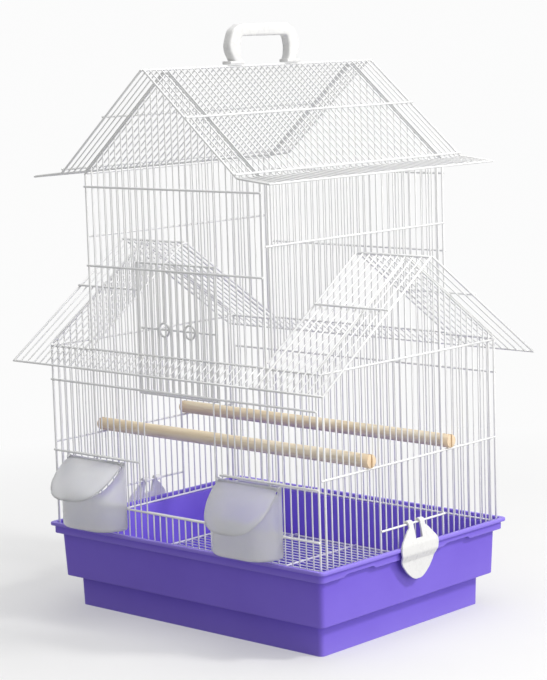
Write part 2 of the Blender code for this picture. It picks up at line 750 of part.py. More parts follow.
def floor_grate():
    """A wire grate on the tray's inner ledge, with three cross rails over its wires."""
    inner = -TRAY_INSET - TRAY_DRAFT - TRAY_WALL - GRATE_PLAY
    half_x, half_y = HALF_LENGTH + inner, HALF_DEPTH + inner
    z = TRAY_FOOT_HEIGHT + TRAY_WALL + FIT + STILE / 2
    found = columns([(-half_y, half_y)], {})
    lines = [[(-half_x, y, z), (half_x, y, z)] for y in found]
    ends = [[(x, -half_y, z), (x, half_y, z)] for x in (-half_x, half_x)]
    over = z + OUTER_RAIL
    crossing = [[(x, -half_y, over), (x, half_y, over)] for x in (-half_x / 2, 0, half_x / 2)]
    made = panel("floor_grate", lines[1:-1], [lines[0], lines[-1]], ends, crossing)
    put_origin(made, (0, 0, z))


# Feeders

def d_ring(centre_x, half, back, front, radius, z):
    """A D-shaped ring: straight at the back, with round corners at the front."""
    right = arc((centre_x + half - radius, front + radius), radius, 0, -math.pi / 2, CUP_ARC_STEPS)
    left = arc((centre_x - half + radius, front + radius), radius, -math.pi / 2, -math.pi, CUP_ARC_STEPS)
    ring = [(centre_x + half, back), *right, *left, (centre_x - half, back)]
    return [(x, y, z) for x, y in ring]


def cup_rings(centre_x):
    """Rings of the cup's skin, from under it up the outside and down to its floor."""
    half = CUP_LENGTH / 2
    front = CUP_BACK_Y - CUP_DEPTH
    bottom = SILL_Z - CUP_DROP
    top = HINGE_Z + BARREL_RADIUS

    def ring(inset, wall, z):
        back = CUP_BACK_Y - wall
        inset += wall
        return d_ring(centre_x, half - inset, back, front + inset, CUP_CORNER - inset, z)

    turn = CUP_BOTTOM_ROUND
    bevel = turn * (1 - math.sqrt(0.5))
    inner_turn = turn - CUP_WALL
    return [
        ring(turn, 0, bottom),
        ring(bevel, 0, bottom + bevel),
        ring(0, 0, bottom + turn),
        ring(0, 0, top),
        ring(0, CUP_WALL, top),
        ring(0, CUP_WALL, bottom + turn),
        ring(inner_turn, CUP_WALL, bottom + CUP_WALL),
    ]


def hood_plane():
    """Rotation that turns +X, +Y, +Z into the hood's own axes: across, back up the slope, and out of it."""
    return Matrix.Rotation(HOOD_SLOPE, 4, "X")


def feeder_cup(name, centre_x):
    """A cup that hangs on the sill rail by two tabs, with ears for its hood's pins."""
    made = new_object(name, loft(cup_rings(centre_x)), parts, cup_finish)
    hinge = Matrix.Translation((centre_x, HINGE_Y, HINGE_Z))
    reach = 2 * HOOD_LENGTH
    slope = block(f"{name}_slope", (-reach, -reach, -FIT), (reach, reach, reach), hinge @ hood_plane())
    combine(made, slope, "DIFFERENCE")
    inner = CUP_LENGTH / 2 - CUP_WALL
    back_low = (centre_x - inner, CUP_BACK_Y - 1.5 * CUP_WALL, SILL_Z + CUP_BACK_RISE)
    back_high = (centre_x + inner, CUP_BACK_Y + CUP_WALL, HINGE_Z + HOOD_LENGTH)
    combine(made, block(f"{name}_back_opening", back_low, back_high), "DIFFERENCE")
    for side, word in ((-1, "left"), (1, "right")):
        ear_x = centre_x + side * (CUP_LENGTH / 2 - CUP_WALL / 2)
        ear = rod(f"{name}_ear_{word}", (ear_x, HINGE_Y, HINGE_Z), EAR_RADIUS, CUP_WALL - 2e-5, 12)
        combine(made, ear)
        combine(made, cup_tab(f"{name}_tab_{word}", centre_x + side * TAB_SPACING / 2))
    hole = rod(f"{name}_hole", (centre_x, HINGE_Y, HINGE_Z), PIN_DIAMETER / 2 + FIT, 2 * CUP_LENGTH, 10)
    combine(made, hole, "DIFFERENCE")
    put_origin(made, (centre_x, CUP_BACK_Y, SILL_Z))
    shade_round(made, 30)


def cup_tab(name, x):
    """A hook over the sill rail and down behind it."""
    under = SILL_Z + RAIL / 2 + FIT
    top = under + TAB_THICKNESS
    inner = -(HALF_DEPTH - STILE / 2 - FIT)
    far = inner + TAB_THICKNESS
    root = CUP_BACK_Y - CUP_WALL / 2
    foot = top - TAB_LEG
    outline = [(root, under), (inner, under), (inner, foot), (far, foot), (far, top), (root, top)]
    return plate(name, outline, TAB_WIDTH, x)


def hood_shell(built):
    """Shapes a grid over (0..1, 0..1) into a scoop: a fan from the hinge to a D-shaped rim, domed between."""
    narrow = (CUP_LENGTH / 2 - CUP_WALL - 2 * FIT) / (HOOD_WIDTH / 2)
    for vertex in built.verts:
        share, turn = vertex.co.x, vertex.co.y * math.pi
        across = math.copysign(abs(math.cos(turn)) ** (2 / HOOD_SQUARENESS), math.cos(turn))
        along = max(0.0, math.sin(turn)) ** (2 / HOOD_SQUARENESS)
        down = share * along * HOOD_LENGTH
        widen = min(1.0, max(0.0, (down - SHOULDER_START * 0.7) / (SHOULDER_START * 0.3)))
        across *= share * HOOD_WIDTH / 2 * (narrow + (1 - narrow) * widen)
        swell = math.sin(min(1.0, down / (0.5 * HOOD_LENGTH)) * math.pi / 2)
        rise = HOOD_DOME * (1 - share**3) ** 0.6 * swell
        vertex.co = (across, -down, HOOD_LIFT + rise)


def feeder_hood(name, centre_x, raised):
    """A scoop-shaped hood with a barrel and two pins, turned up about its hinge by the given angle."""
    built = bmesh.new()
    bmesh.ops.create_grid(built, x_segments=HOOD_RING_STEPS, y_segments=HOOD_FAN_STEPS, size=0.5)
    built.transform(Matrix.Translation((0.5, 0.5, 0)))
    hood_shell(built)
    bmesh.ops.remove_doubles(built, verts=built.verts, dist=1e-6)
    bmesh.ops.recalc_face_normals(built, faces=built.faces)
    turn = Matrix.Translation((centre_x, HINGE_Y, HINGE_Z)) @ Matrix.Rotation(-raised, 4, "X") @ hood_plane()
    built.transform(turn)
    if sum(face.normal.z for face in built.faces) < 0:
        bmesh.ops.reverse_faces(built, faces=built.faces)
    made = new_object(name, built, parts, cup_finish)
    wall = made.modifiers.new("wall", "SOLIDIFY")
    wall.thickness = HOOD_WALL
    wall.offset = -1
    reach = 2 * HOOD_LENGTH
    under = block(f"{name}_under", (-reach, -reach, -reach), (reach, reach, FIT / 2), turn)
    combine(made, under, "DIFFERENCE")
    barrel_length = CUP_LENGTH - 2 * CUP_WALL - 2 * FIT
    hinge = (centre_x, HINGE_Y, HINGE_Z)
    combine(made, rod(f"{name}_barrel", hinge, BARREL_RADIUS, barrel_length, 12))
    combine(made, rod(f"{name}_pin", hinge, PIN_DIAMETER / 2, CUP_LENGTH, 10))
    put_origin(made, hinge)
    shade_round(made, 50)


# Clips and handle

def clip_line():
    """Middle line (x, z) of a right clip: round the bar, down past the rim's edge, then in to the tray."""
    bar = (HALF_LENGTH + OUTER_RAIL, CLIP_BAR_Z)
    radius = RAIL_CORNER + FIT + CLIP_THICKNESS / 2
    plumb = HALF_LENGTH + REBATE + RIM_BAND + FIT + CLIP_THICKNESS / 2
    curl = arc(bar, radius, math.radians(205), 0, CURL_STEPS)
    return [
        *curl,
        (plumb, RIM_TOP_Z + CLIP_THICKNESS / 2),
        (plumb, RIM_UNDER_Z - CLIP_TUCK_FALL),
        (plumb - CLIP_TUCK, RIM_UNDER_Z - CLIP_TUCK_FALL - CLIP_TUCK_LENGTH),
        (plumb - CLIP_TUCK, RIM_UNDER_Z - CLIP_FALL - CLIP_THICKNESS),
    ]


def clip_outline():
    """Outline (y, z): two ears over a slot, a shield-shaped body and a blunt tip."""
    ear_in = PITCH / 2 + WIRE / 2 + FIT
    ear_out = 1.5 * PITCH - WIRE / 2 - FIT
    top = CLIP_BAR_Z + CLIP_EAR_MARGIN
    climb = CLIP_BAR_Z - RIM_UNDER_Z
    slot = CLIP_BAR_Z - CLIP_SLOT_DEPTH
    wide = CLIP_HALF_WIDTH
    half = [(0, RIM_UNDER_Z - CLIP_FALL, 0)]
    half += [(out * wide, RIM_UNDER_Z - fall * CLIP_FALL, bend) for out, fall, bend in CLIP_SHIELD_BELOW]
    half += [(out * wide, RIM_UNDER_Z + rise * climb, bend) for out, rise, bend in CLIP_SHIELD_ABOVE]
    half += [
        (ear_out, RIM_UNDER_Z + CLIP_EAR_ROOT * climb, CLIP_EAR_ROUND),
        (ear_out, top, 0),
        (ear_in, top, 0),
        (ear_in, slot, CLIP_EAR_ROUND),
        (0, slot - CLIP_SLOT_DIP, 0),
    ]
    return filleted(mirrored(half))


def clip(name, side):
    """A spring clip that hangs on the side wall's short bar and holds the tray's rim."""
    built = bmesh.new()
    width = 2 * CLIP_HALF_WIDTH
    line = clip_line()
    first = [built.verts.new((side * x, -width / 2, z)) for x, z in line]
    edges = [built.edges.new(pair) for pair in zip(first, first[1:])]
    swept = bmesh.ops.extrude_edge_only(built, edges=edges)["geom"]
    moved = [element for element in swept if isinstance(element, bmesh.types.BMVert)]
    bmesh.ops.translate(built, verts=moved, vec=(0, width, 0))
    made = new_object(name, built, parts, clip_finish)
    wall = made.modifiers.new("wall", "SOLIDIFY")
    wall.thickness = CLIP_THICKNESS
    wall.offset = 0
    centre = side * (HALF_LENGTH + REBATE)
    combine(made, plate(f"{name}_outline", clip_outline(), CAGE_LENGTH / 8, centre), "INTERSECT")
    plumb = HALF_LENGTH + REBATE + RIM_BAND + FIT
    near, far = sorted((side * (plumb - CATCH_REACH - FIT), side * (plumb + CLIP_THICKNESS / 2)))
    catch_top = RIM_UNDER_Z - 3 * FIT
    low = (near, -CATCH_WIDTH / 2, catch_top - CATCH_HEIGHT)
    combine(made, block(f"{name}_catch", low, (far, CATCH_WIDTH / 2, catch_top)))
    put_origin(made, (side * (HALF_LENGTH + OUTER_RAIL), 0, CLIP_BAR_Z))
    shade_round(made, 35)


def handle():
    """An arched carrying handle whose two feet sit on the ridge rails."""
    foot = upper_roof_z(RIDGE_RAIL) + RAIL_CORNER + FIT
    top = foot + HANDLE_HEIGHT
    under = top - HANDLE_GRIP
    tall = HANDLE_HEIGHT
    half = [(0, under, 0), (HANDLE_FOOT_IN + HANDLE_INSIDE[1][0] / 2, under, HANDLE_GRIP_ROUND)]
    half += [(HANDLE_FOOT_IN + out, foot + rise * tall, bend) for out, rise, bend in HANDLE_INSIDE]
    half += [(HANDLE_FOOT_OUT - set_in, foot + rise * tall, bend) for set_in, rise, bend in HANDLE_FOOT]
    half += [(out * HANDLE_WIDEST, foot + rise * tall, bend) for out, rise, bend in HANDLE_OUTSIDE]
    half.append((0, top, 0))
    outline = filleted(mirrored(half))
    made = plate("handle", outline, HANDLE_THICKNESS, 0, parts, handle_finish)
    edge = made.modifiers.new("edge", "BEVEL")
    edge.width = HANDLE_EDGE
    edge.segments = 1
    edge.limit_method = "ANGLE"
    edge.angle_limit = math.radians(60)
    put_origin(made, (0, 0, RIDGE_Z))
    shade_round(made, 45)


start_scene()
wire_finish = white_wire()
tray_finish = purple_tray()
wood_finish = pale_wood()
cup_finish = frosted_plastic()
clip_finish = white_plastic()
handle_finish = white_plastic()

tray()
floor_grate()
make_end_walls()
for side_sign, side_word in ((-1, "left"), (1, "right")):
    side_wall(f"{side_word}_wall", side_sign)
    tower_side(f"tower_{side_word}_wall", side_sign)
    upper_roof(f"upper_roof_{side_word}", side_sign)
    for end_sign, end_word in ((-1, "front"), (1, "back")):
        wing_roof(f"wing_roof_{side_word}_{end_word}", side_sign, end_sign)
    clip(f"clip_{side_word}", side_sign)
skirt("skirt_front", -1)
skirt("skirt_back", 1)
front_door()
perch("perch_front", FRONT_PERCH_Y)
perch("perch_back", BACK_PERCH_Y)
feeders = (("left", LEFT_FEEDER_X, LEFT_HOOD_RAISED), ("right", RIGHT_FEEDER_X, 0.0))
for side_word, feeder_x, raised_angle in feeders:
    feeder_cup(f"feeder_cup_{side_word}", feeder_x)
    feeder_hood(f"feeder_hood_{side_word}", feeder_x, raised_angle)
handle()
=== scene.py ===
"""The looks of a white wire bird cage: a gabled tower over a wider house, on a purple plastic tray.

+X runs along the front wall, +Y to the back and +Z up, in metres from the bottom centre of the tray.
Every piece is a surface worked out in whole arrays. Wires are round bars with small weld beads.
"""

import json
import math

import bpy
import numpy as np
from mathutils import Matrix

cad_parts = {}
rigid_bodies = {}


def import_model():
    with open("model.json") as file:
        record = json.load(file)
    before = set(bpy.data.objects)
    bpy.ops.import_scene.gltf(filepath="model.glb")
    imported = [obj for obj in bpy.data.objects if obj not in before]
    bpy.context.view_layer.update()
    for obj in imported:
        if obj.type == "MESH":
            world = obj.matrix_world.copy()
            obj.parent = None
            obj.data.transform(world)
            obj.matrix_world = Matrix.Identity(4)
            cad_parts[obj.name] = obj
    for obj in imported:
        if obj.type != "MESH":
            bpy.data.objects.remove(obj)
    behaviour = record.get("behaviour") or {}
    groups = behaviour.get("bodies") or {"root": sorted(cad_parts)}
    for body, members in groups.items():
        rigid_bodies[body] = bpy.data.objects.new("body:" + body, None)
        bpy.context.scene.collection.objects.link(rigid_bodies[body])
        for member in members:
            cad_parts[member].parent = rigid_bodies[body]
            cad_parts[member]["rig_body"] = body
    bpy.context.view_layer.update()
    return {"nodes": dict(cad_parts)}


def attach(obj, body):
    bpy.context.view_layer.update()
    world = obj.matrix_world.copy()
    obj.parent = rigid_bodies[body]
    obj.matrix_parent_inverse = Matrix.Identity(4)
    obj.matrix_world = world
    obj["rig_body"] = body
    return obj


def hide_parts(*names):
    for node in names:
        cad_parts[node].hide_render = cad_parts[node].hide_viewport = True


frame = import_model()
bpy.context.scene.view_settings.view_transform = "Standard"

# Wire, and the fits between pieces
WIRE = 0.0018
RAIL = 0.0026
STILE = 0.0028
FIT = 0.0003  # clearance between two neighbouring pieces
WELD_GAP = 0.0002  # between a wire and a rail that lies over it
TIP = 0.0015  # how far a rail's end stands past the middle of the last wire
PITCH = 0.0105
WIRE_TIP = (0, 0.2, 0.6)  # a wire's rounded tip: stations in from its end, in radii
WIRE_TIP_SWELL = 0.72  # share of the radius at the second of them
WELD_SIZE = (0.0011, 0.0009, 0.0011)  # half sizes of a bead where a rail crosses upright wires
COLLAR_SIZE = (0.00115, 0.00115, 0.0008)  # where an upright wire ends on a rail
ROOF_WELD_SIZE = (0.0011, 0.0011, 0.0011)  # also at the ends of the floor grate's wires
FLOOR_WELD_SIZE = (0.0011, 0.0011, 0.0009)
RIDGE_BEAD_IN, RIDGE_BEAD_DROP = 0.001, 0.00085  # from the ridge rail's middle to the beads on the wires
EAVE_BEAD_IN, EAVE_BEAD_RISE = 0.0012, 0.0001
GABLE_BEND = 0.002  # radius of a sloping rail's bends under the ridge

# Plan of the cage
HALF_LENGTH = 0.4305 / 2
HALF_DEPTH = 0.3255 / 2
HALF_TOWER = 0.2835 / 2

# Tray
TRAY_WALL = 0.0022
TRAY_FOOT_HEIGHT = 0.038
TRAY_SEAT_HEIGHT = 0.1002
TRAY_STEP = 0.013
TRAY_INSET = 0.001
TRAY_DRAFT = 0.0025
TRAY_FOOT_DRAFT = 0.001
TRAY_CORNER = 0.006
RIM_BAND = 0.0055
RIM_RISE = 0.0062
RIM_EDGE = 0.0042
LIP_SET_IN = 0.0038
LIP_DEPTH = 0.0076
LIP_WALL = 0.0024
LIP_NOTCHES = ((-0.129, -0.075), (0.052, 0.102))  # along the sides, where the lip is shallower
LIP_NOTCH_RISE = 0.003
LIP_NOTCH_RUN = 0.004  # over which a notch reaches its depth
LIP_EDGE_BELOW, LIP_EDGE_ABOVE = 0.0004, 0.0012  # round the lip's lower edge: the band that a notch lifts
LIP_SIDE_FADE = 0.001
GRATE_PLAY = 0.003

# House walls and lower roof
SILL_RISE = 0.0378
DOOR_OPENING_HEIGHT = 0.1475
DOOR_OPENING_LENGTH = 0.1155
FEEDER_OPENING_HEIGHT = 0.0595
FEEDER_OPENING_LENGTH = 0.0945
LEFT_FEEDER_X = -HALF_LENGTH + 0.07875
RIGHT_FEEDER_X = HALF_LENGTH - 0.09975
MID_RAIL_SETBACK = 0.00825
PERCH_RAIL_RISE = 0.1068
WALL_HEIGHT = 0.2308
GABLE_RAIL_DROP = 0.005
LOWER_SLOPE = math.radians(34.7)
EAVE_OVERHANG = 0.031
SIDE_OVERHANG = 0.036
LOWER_RAIL_Y = 0.079

# Tower and upper roof
TOWER_HEIGHT = 0.2115
TOWER_LOWER_RAIL_RISE = 0.0985
TOWER_UPPER_RAIL_DROP = 0.0185
TOWER_SIDE_RAIL_RISE = 0.133
UPPER_SLOPE = math.radians(40.4)
GABLE_OVERHANG = 0.0375
UPPER_RAIL_X = 0.066
BEND_RAIL_SETBACK = 0.003
LIP_REACH = 0.048
LIP_FALL = 0.005
BEND_RADIUS = 0.006

# Door and perches
DOOR_SIDE_LAP = 0.00525
DOOR_END_LAP = 0.00375
FINGER_RING_X = 0.021
FINGER_RING_RADIUS = 0.008
PERCH_RADIUS = 0.008
PERCH_REACH = 0.00675
PERCH_SLOT_DEPTH = 0.0085
PRONG_OVERLAP = 0.0004  # how far the prongs start inside the dowel
PRONG_CHAMFER = 0.0008
PERCH_DARK_ENDS = (0.014, 0.002)  # from a perch's tip: where its wood starts to darken, and is darkest
FRONT_PERCH_Y = -0.07875
BACK_PERCH_Y = 0.06825

# Feeder cups and hoods
CUP_LENGTH = 0.096
CUP_DEPTH = 0.034
CUP_WALL = 0.002
CUP_DROP = 0.026
CUP_CORNER = 0.030
CUP_BOTTOM_ROUND = 0.005
CUP_BACK_RISE = 0.0034
CUP_REAR_EDGE = 0.0012  # from the cup's side to the low sill of its back
TAB_WIDTH = 0.010
TAB_THICKNESS = 0.0018
TAB_SPACING = 0.060
TAB_LEG = 0.0085
TAB_BEND = 0.0009
HINGE_RISE = 0.055
EAR_WALL = 0.0023
EAR_EDGE = 0.0004
EAR_SHY = 2e-5  # how much thinner an ear is than the wall that it stands in
PIN_RADIUS = 0.001
HOOD_SLOPE = math.radians(50)
HOOD_LENGTH = 0.066
HOOD_WIDTH = 0.097
HOOD_WALL = 0.0018
HOOD_DOME = 0.012
HOOD_SQUARENESS = 2.8
HOOD_LIFT = 0.001
HOOD_RIM = 0.0009
BUMP_HALF_WIDTH = 0.0058  # the finger bump at the hood's front
BUMP_HALF_LENGTH = 0.0034
BUMP_SETBACK = 0.0039  # from the hood's front to the bump's middle
BUMP_RISE = 0.0021
BARREL_RADIUS = 0.0026
SHOULDER_START = 0.0075
LEFT_HOOD_RAISED = math.radians(11)

# Clips
CLIP_BAR_LENGTH = 0.1155
CLIP_BAR_RISE = 0.0308
CLIP_THICKNESS = 0.0022
CLIP_HALF_WIDTH = 0.034
CLIP_FALL = 0.0367
CLIP_TUCK = 0.0042
CLIP_TUCK_FALL = 0.0052
CLIP_TUCK_LENGTH = 0.0084
CLIP_SLOT_DEPTH = 0.017
CLIP_CURL_TURN = 205  # degrees that the clip goes round its bar
CLIP_BENDS = (0.006, 0.003, 0.003)
CLIP_EDGE_ROUND = 0.0005
CLIP_EDGE_LOW = ((0.0, 0.12), (0.0011, 0.24), (0.0033, 0.35), (0.0055, 0.44), (0.0105, 0.61))
CLIP_EDGE_MIDDLE = ((-0.0182, 0.80), (-0.0115, 0.90), (-0.0052, 0.96), (0.0006, 0.99), (0.0028, 0.99))
CLIP_EDGE_HIGH = ((0.0026, 0.96), (0.0066, 0.88), (0.0125, 0.70), (0.0176, 0.56))
CLIP_EAR_DROP = 0.004  # below the bar, where the ears turn plumb
CATCH_WIDTH = 0.020
CATCH_HEIGHT = 0.0024
CATCH_REACH = 0.0019

# Handle
HANDLE_THICKNESS = 0.014
HANDLE_HEIGHT = 0.0474
HANDLE_GRIP = 0.0148
HANDLE_FOOT_OUT = 0.062
HANDLE_FOOT_IN = 0.038
HANDLE_FOOT_HALF_RISE = 0.002
HANDLE_FOOT_BEVEL = 0.0006
HANDLE_WAIST = 0.003  # height at which the arch starts, inside its feet
HANDLE_WIDEST = 0.0635
HANDLE_INSIDE = ((0.0015, HANDLE_WAIST), (0.004, 0.008), (0.005, 0.020))  # (out from HANDLE_FOOT_IN, up)
HANDLE_INSIDE_TOP = 0.002  # out from HANDLE_FOOT_IN, under the grip
HANDLE_INSIDE_BENDS = (0.01, 0.02, 0.006)
HANDLE_KNEE_RISE = 0.0194
HANDLE_SHOULDER = (0.87, 0.007)  # (share of the widest half, below the top)
HANDLE_SHOULDER_KNOT = (0.78, 0.0035)
HANDLE_TOP_SHARE = 0.66
HANDLE_OUTSIDE_BENDS = (0.02, 0.014, 0.015)

# Camera and surroundings
CAMERA_TURNS = (42.497, 8.025, 1.708)  # azimuth, elevation and roll in degrees
CAMERA_PLACE = (0.014, 0.757, 6.255)  # the origin right of, below and beyond the lens, in cage lengths
PHOTO_HEIGHT = 680
FOCAL_PIXELS = 2175.8
SENSOR = 36
WORLD_LIGHT = 0.46
BACKDROP = 0.97
GREY_FLOOR = (0.38, 0.38, 0.38)  # the floor's colour for the light that it throws on the cage
FLOOR_Z = -0.0002

# Values that follow
TAU = 2 * math.pi
POST_ROOM = 0.55 * PITCH
OUTER_RAIL = WIRE / 2 + WELD_GAP + RAIL / 2
REBATE = WIRE / 2 + WELD_GAP + RAIL + FIT
WALL_END = STILE / 2 + FIT
FOOT_RAIL_Z = TRAY_SEAT_HEIGHT + FIT + RAIL / 2
SILL_Z = TRAY_SEAT_HEIGHT + SILL_RISE
DOOR_HEAD_Z = SILL_Z + DOOR_OPENING_HEIGHT
FEEDER_HEAD_Z = SILL_Z + FEEDER_OPENING_HEIGHT
PERCH_RAIL_Z = TRAY_SEAT_HEIGHT + PERCH_RAIL_RISE
EAVES_Z = TRAY_SEAT_HEIGHT + WALL_HEIGHT
BEND_Z = EAVES_Z + TOWER_HEIGHT
RIDGE_Z = BEND_Z + HALF_TOWER * math.tan(UPPER_SLOPE)
RIM_TOP_Z = TRAY_SEAT_HEIGHT + RIM_RISE
RIM_UNDER_Z = RIM_TOP_Z - RIM_EDGE
LIP_BOTTOM_Z = TRAY_SEAT_HEIGHT - LIP_DEPTH
RAIL_CORNER = RAIL / math.sqrt(2)
RIDGE_RAIL = RAIL_CORNER + FIT / 2
RIDGE_FLAT = RIDGE_RAIL + RAIL_CORNER
CUP_BACK_Y = -(HALF_DEPTH + REBATE)
EAR_RADIUS = PIN_RADIUS + FIT + EAR_WALL
HINGE_Y = CUP_BACK_Y - EAR_RADIUS - FIT / 2
HINGE_Z = SILL_Z + HINGE_RISE
DOOR_Y = -(HALF_DEPTH - STILE / 2 - FIT - RAIL / 2)
CLIP_BAR_Z = TRAY_SEAT_HEIGHT + CLIP_BAR_RISE
ALONG_X = (1.0, 0.0, 0.0)
ALONG_Y = (0.0, 1.0, 0.0)
NO_QUADS = np.zeros((0, 4), int)
NO_TRIS = np.zeros((0, 3), int)


# Arrays of points and faces. A shape is (points, quads, triangles)

def at(x, y, z):
    """Points from arrays of x, y and z, which are stretched to match each other."""
    return np.stack(np.broadcast_arrays(x, y, z), axis=-1).astype(float)


def unit(vectors):
    return vectors / np.linalg.norm(vectors, axis=-1, keepdims=True)


def smooth_step(value, low, high):
    """0 below low, 1 above high, and an even S between them."""
    share = np.clip((value - low) / (high - low), 0, 1)
    return share * share * (3 - 2 * share)


def joined(shapes):
    """Several shapes as one: their points in a row, with the faces' numbers moved on to match."""
    starts = np.cumsum([0] + [len(shape[0]) for shape in shapes[:-1]])
    points = np.concatenate([shape[0] for shape in shapes])
    quads = np.concatenate([shape[1] + start for shape, start in zip(shapes, starts)])
    tris = np.concatenate([shape[2] + start for shape, start in zip(shapes, starts)])
    return points, quads, tris


def grid_quads(rows, columns, close_columns=False, close_rows=False):
    """Quads over a grid numbered row by row. They face along (next column) x (next row)."""
    row, column = np.mgrid[0:rows if close_rows else rows - 1, 0:columns if close_columns else columns - 1]
    here, below = row * columns, (row + 1) % rows * columns
    after = (column + 1) % columns
    return np.stack([here + column, here + after, below + after, below + column], axis=-1).reshape(-1, 4)


def pole_fans(rows, columns):
    """Triangles that close a tube's two ends. Its poles are the two points that follow its grid."""
    here = np.arange(columns)
    after = (here + 1) % columns
    pole, last = np.full(columns, rows * columns), (rows - 1) * columns
    return np.concatenate([
        np.stack([pole, after, here], axis=1),
        np.stack([pole + 1, last + here, last + after], axis=1),
    ])


def skin(grid):
    """A closed skin from a (rows, columns, 3) grid whose columns run round, with a pole at each end."""
    rows, columns = grid.shape[:2]
    points = np.concatenate([grid.reshape(-1, 3), grid[:1].mean(axis=1), grid[-1:].mean(axis=1)])
    return points, grid_quads(rows, columns, True), pole_fans(rows, columns)


def bars(paths, thickness, sides=10):
    """Round wires. A point is c + r (cos a N + sin a B): N stands across the path's plane, B = T x N,
    T is the path's direction, and r drops to nothing over a short rounded tip at both ends."""
    paths = np.asarray(paths, float)
    radius = thickness / 2
    step = unit(np.diff(paths, axis=1))
    inward = radius * np.array(WIRE_TIP)[:, None]
    head = paths[:, :1] + step[:, :1] * inward
    tail = paths[:, -1:] - step[:, -1:] * inward[::-1]
    centres = np.concatenate([head, paths[:, 1:-1], tail], axis=1)
    bends = unit(step[:, :-1] + step[:, 1:])
    first, last = np.repeat(step[:, :1], 3, axis=1), np.repeat(step[:, -1:], 3, axis=1)
    along = np.concatenate([first, bends, last], axis=1)
    level = np.allclose(paths[0, :, 1], paths[0, 0, 1])
    normal = np.broadcast_to(ALONG_Y if level else ALONG_X, along.shape)
    binormal = np.cross(along, normal)
    swell = np.ones(centres.shape[1])
    swell[[1, -2]] = WIRE_TIP_SWELL
    angle = np.arange(sides) * TAU / sides
    ring = np.cos(angle)[:, None] * normal[:, 1:-1, None] + np.sin(angle)[:, None] * binormal[:, 1:-1, None]
    rings = centres[:, 1:-1, None] + radius * swell[1:-1, None, None] * ring
    count, stations = rings.shape[:2]
    size = stations * sides + 2
    points = np.concatenate([rings.reshape(count, -1, 3), centres[:, :1], centres[:, -1:]], axis=1)
    start = (np.arange(count) * size)[:, None, None]
    quads = (grid_quads(stations, sides, True) + start).reshape(-1, 4)
    return points.reshape(-1, 3), quads, (pole_fans(stations, sides) + start).reshape(-1, 3)


def icosahedron():
    """Twelve points (0, +-1, +-g) and their turns, g being the golden ratio, and the 20 faces between."""
    golden = (1 + math.sqrt(5)) / 2
    flat = np.array([(0, 1, golden), (0, -1, golden), (0, 1, -golden), (0, -1, -golden)])
    points = unit(np.concatenate([flat, np.roll(flat, 1, axis=1), np.roll(flat, 2, axis=1)]))
    trio = np.array(np.meshgrid(*[np.arange(12)] * 3, indexing="ij")).reshape(3, -1).T
    trio = trio[(trio[:, 0] < trio[:, 1]) & (trio[:, 1] < trio[:, 2])]
    corners = points[trio]
    spans = np.linalg.norm(corners - np.roll(corners, 1, axis=1), axis=2)
    trio = trio[(spans < 1.2).all(axis=1)]
    corners = points[trio]
    facing = np.cross(corners[:, 1] - corners[:, 0], corners[:, 2] - corners[:, 0])
    inward = (facing * corners.mean(axis=1)).sum(axis=1) < 0
    trio[inward] = trio[inward][:, ::-1]
    return points, trio


BEAD_POINTS, BEAD_FACES = icosahedron()


def beads(places, size):
    """Weld beads: one small 20-faced ball, stretched to the size along X, Y and Z and set at every place."""
    places = np.asarray(places, float).reshape(-1, 3)
    points = places[:, None] + BEAD_POINTS * np.asarray(size)
    faces = BEAD_FACES + (np.arange(len(places)) * len(BEAD_POINTS))[:, None, None]
    return points.reshape(-1, 3), NO_QUADS, faces.reshape(-1, 3)


def ring_bar(centre, radius, thickness, steps=40, sides=10):
    """A ring of wire in the XZ plane: a circle of the wire's radius carried round a circle of the ring's."""
    round_angle = np.arange(steps)[:, None] * TAU / steps
    wire_angle = np.arange(sides) * TAU / sides
    out = radius + thickness / 2 * np.cos(wire_angle)
    aside = thickness / 2 * np.sin(wire_angle)
    points = at(out * np.cos(round_angle), aside, out * np.sin(round_angle)) + centre
    return points.reshape(-1, 3), grid_quads(steps, sides, True, True), NO_TRIS


def sweep(path, section, normal):
    """A section (across, out) carried along a path, at c + across N + out B with B = T x N, and closed at
    both ends. The section may change from station to station."""
    path = np.asarray(path, float)
    step = unit(np.diff(path, axis=0))
    along = unit(np.concatenate([step[:1], step[:-1] + step[1:], step[-1:]]))
    across = np.broadcast_to(normal, along.shape)
    out = np.cross(along, across)
    section = np.broadcast_to(section, (len(path), *np.shape(section)[-2:]))
    return skin(path[:, None] + section[..., :1] * across[:, None] + section[..., 1:] * out[:, None])


def signed_power(value, power):
    """|value| to the power, with the value's own sign."""
    return np.sign(value) * np.abs(value) ** power


def squircle(half_across, half_out, squareness=5, steps=24):
    """A rounded rectangle: |a / A| to the power n plus |b / B| to the power n is 1."""
    angle = np.arange(steps) * TAU / steps
    across = signed_power(np.cos(angle), 2 / squareness)
    out = signed_power(np.sin(angle), 2 / squareness)
    return np.stack([half_across * across, half_out * out], axis=1)


def rounded(path, radii, steps=5):
    """An open path whose inner corners are cut back and bent: (1-t)^2 a + 2t(1-t) corner + t^2 b."""
    path = np.asarray(path, float)
    share = np.linspace(0, 1, steps + 1)[:, None]
    pieces = [path[:1]]
    for before, here, after, radius in zip(path, path[1:-1], path[2:], radii):
        back, on = before - here, after - here
        half = math.acos(np.clip(unit(back) @ unit(on), -1, 1)) / 2
        cut = min(radius / math.tan(half), 0.45 * np.linalg.norm(back), 0.45 * np.linalg.norm(on))
        first, last = here + unit(back) * cut, here + unit(on) * cut
        pieces.append((1 - share) ** 2 * first + 2 * share * (1 - share) * here + share**2 * last)
    pieces.append(path[-1:])
    return np.concatenate(pieces)


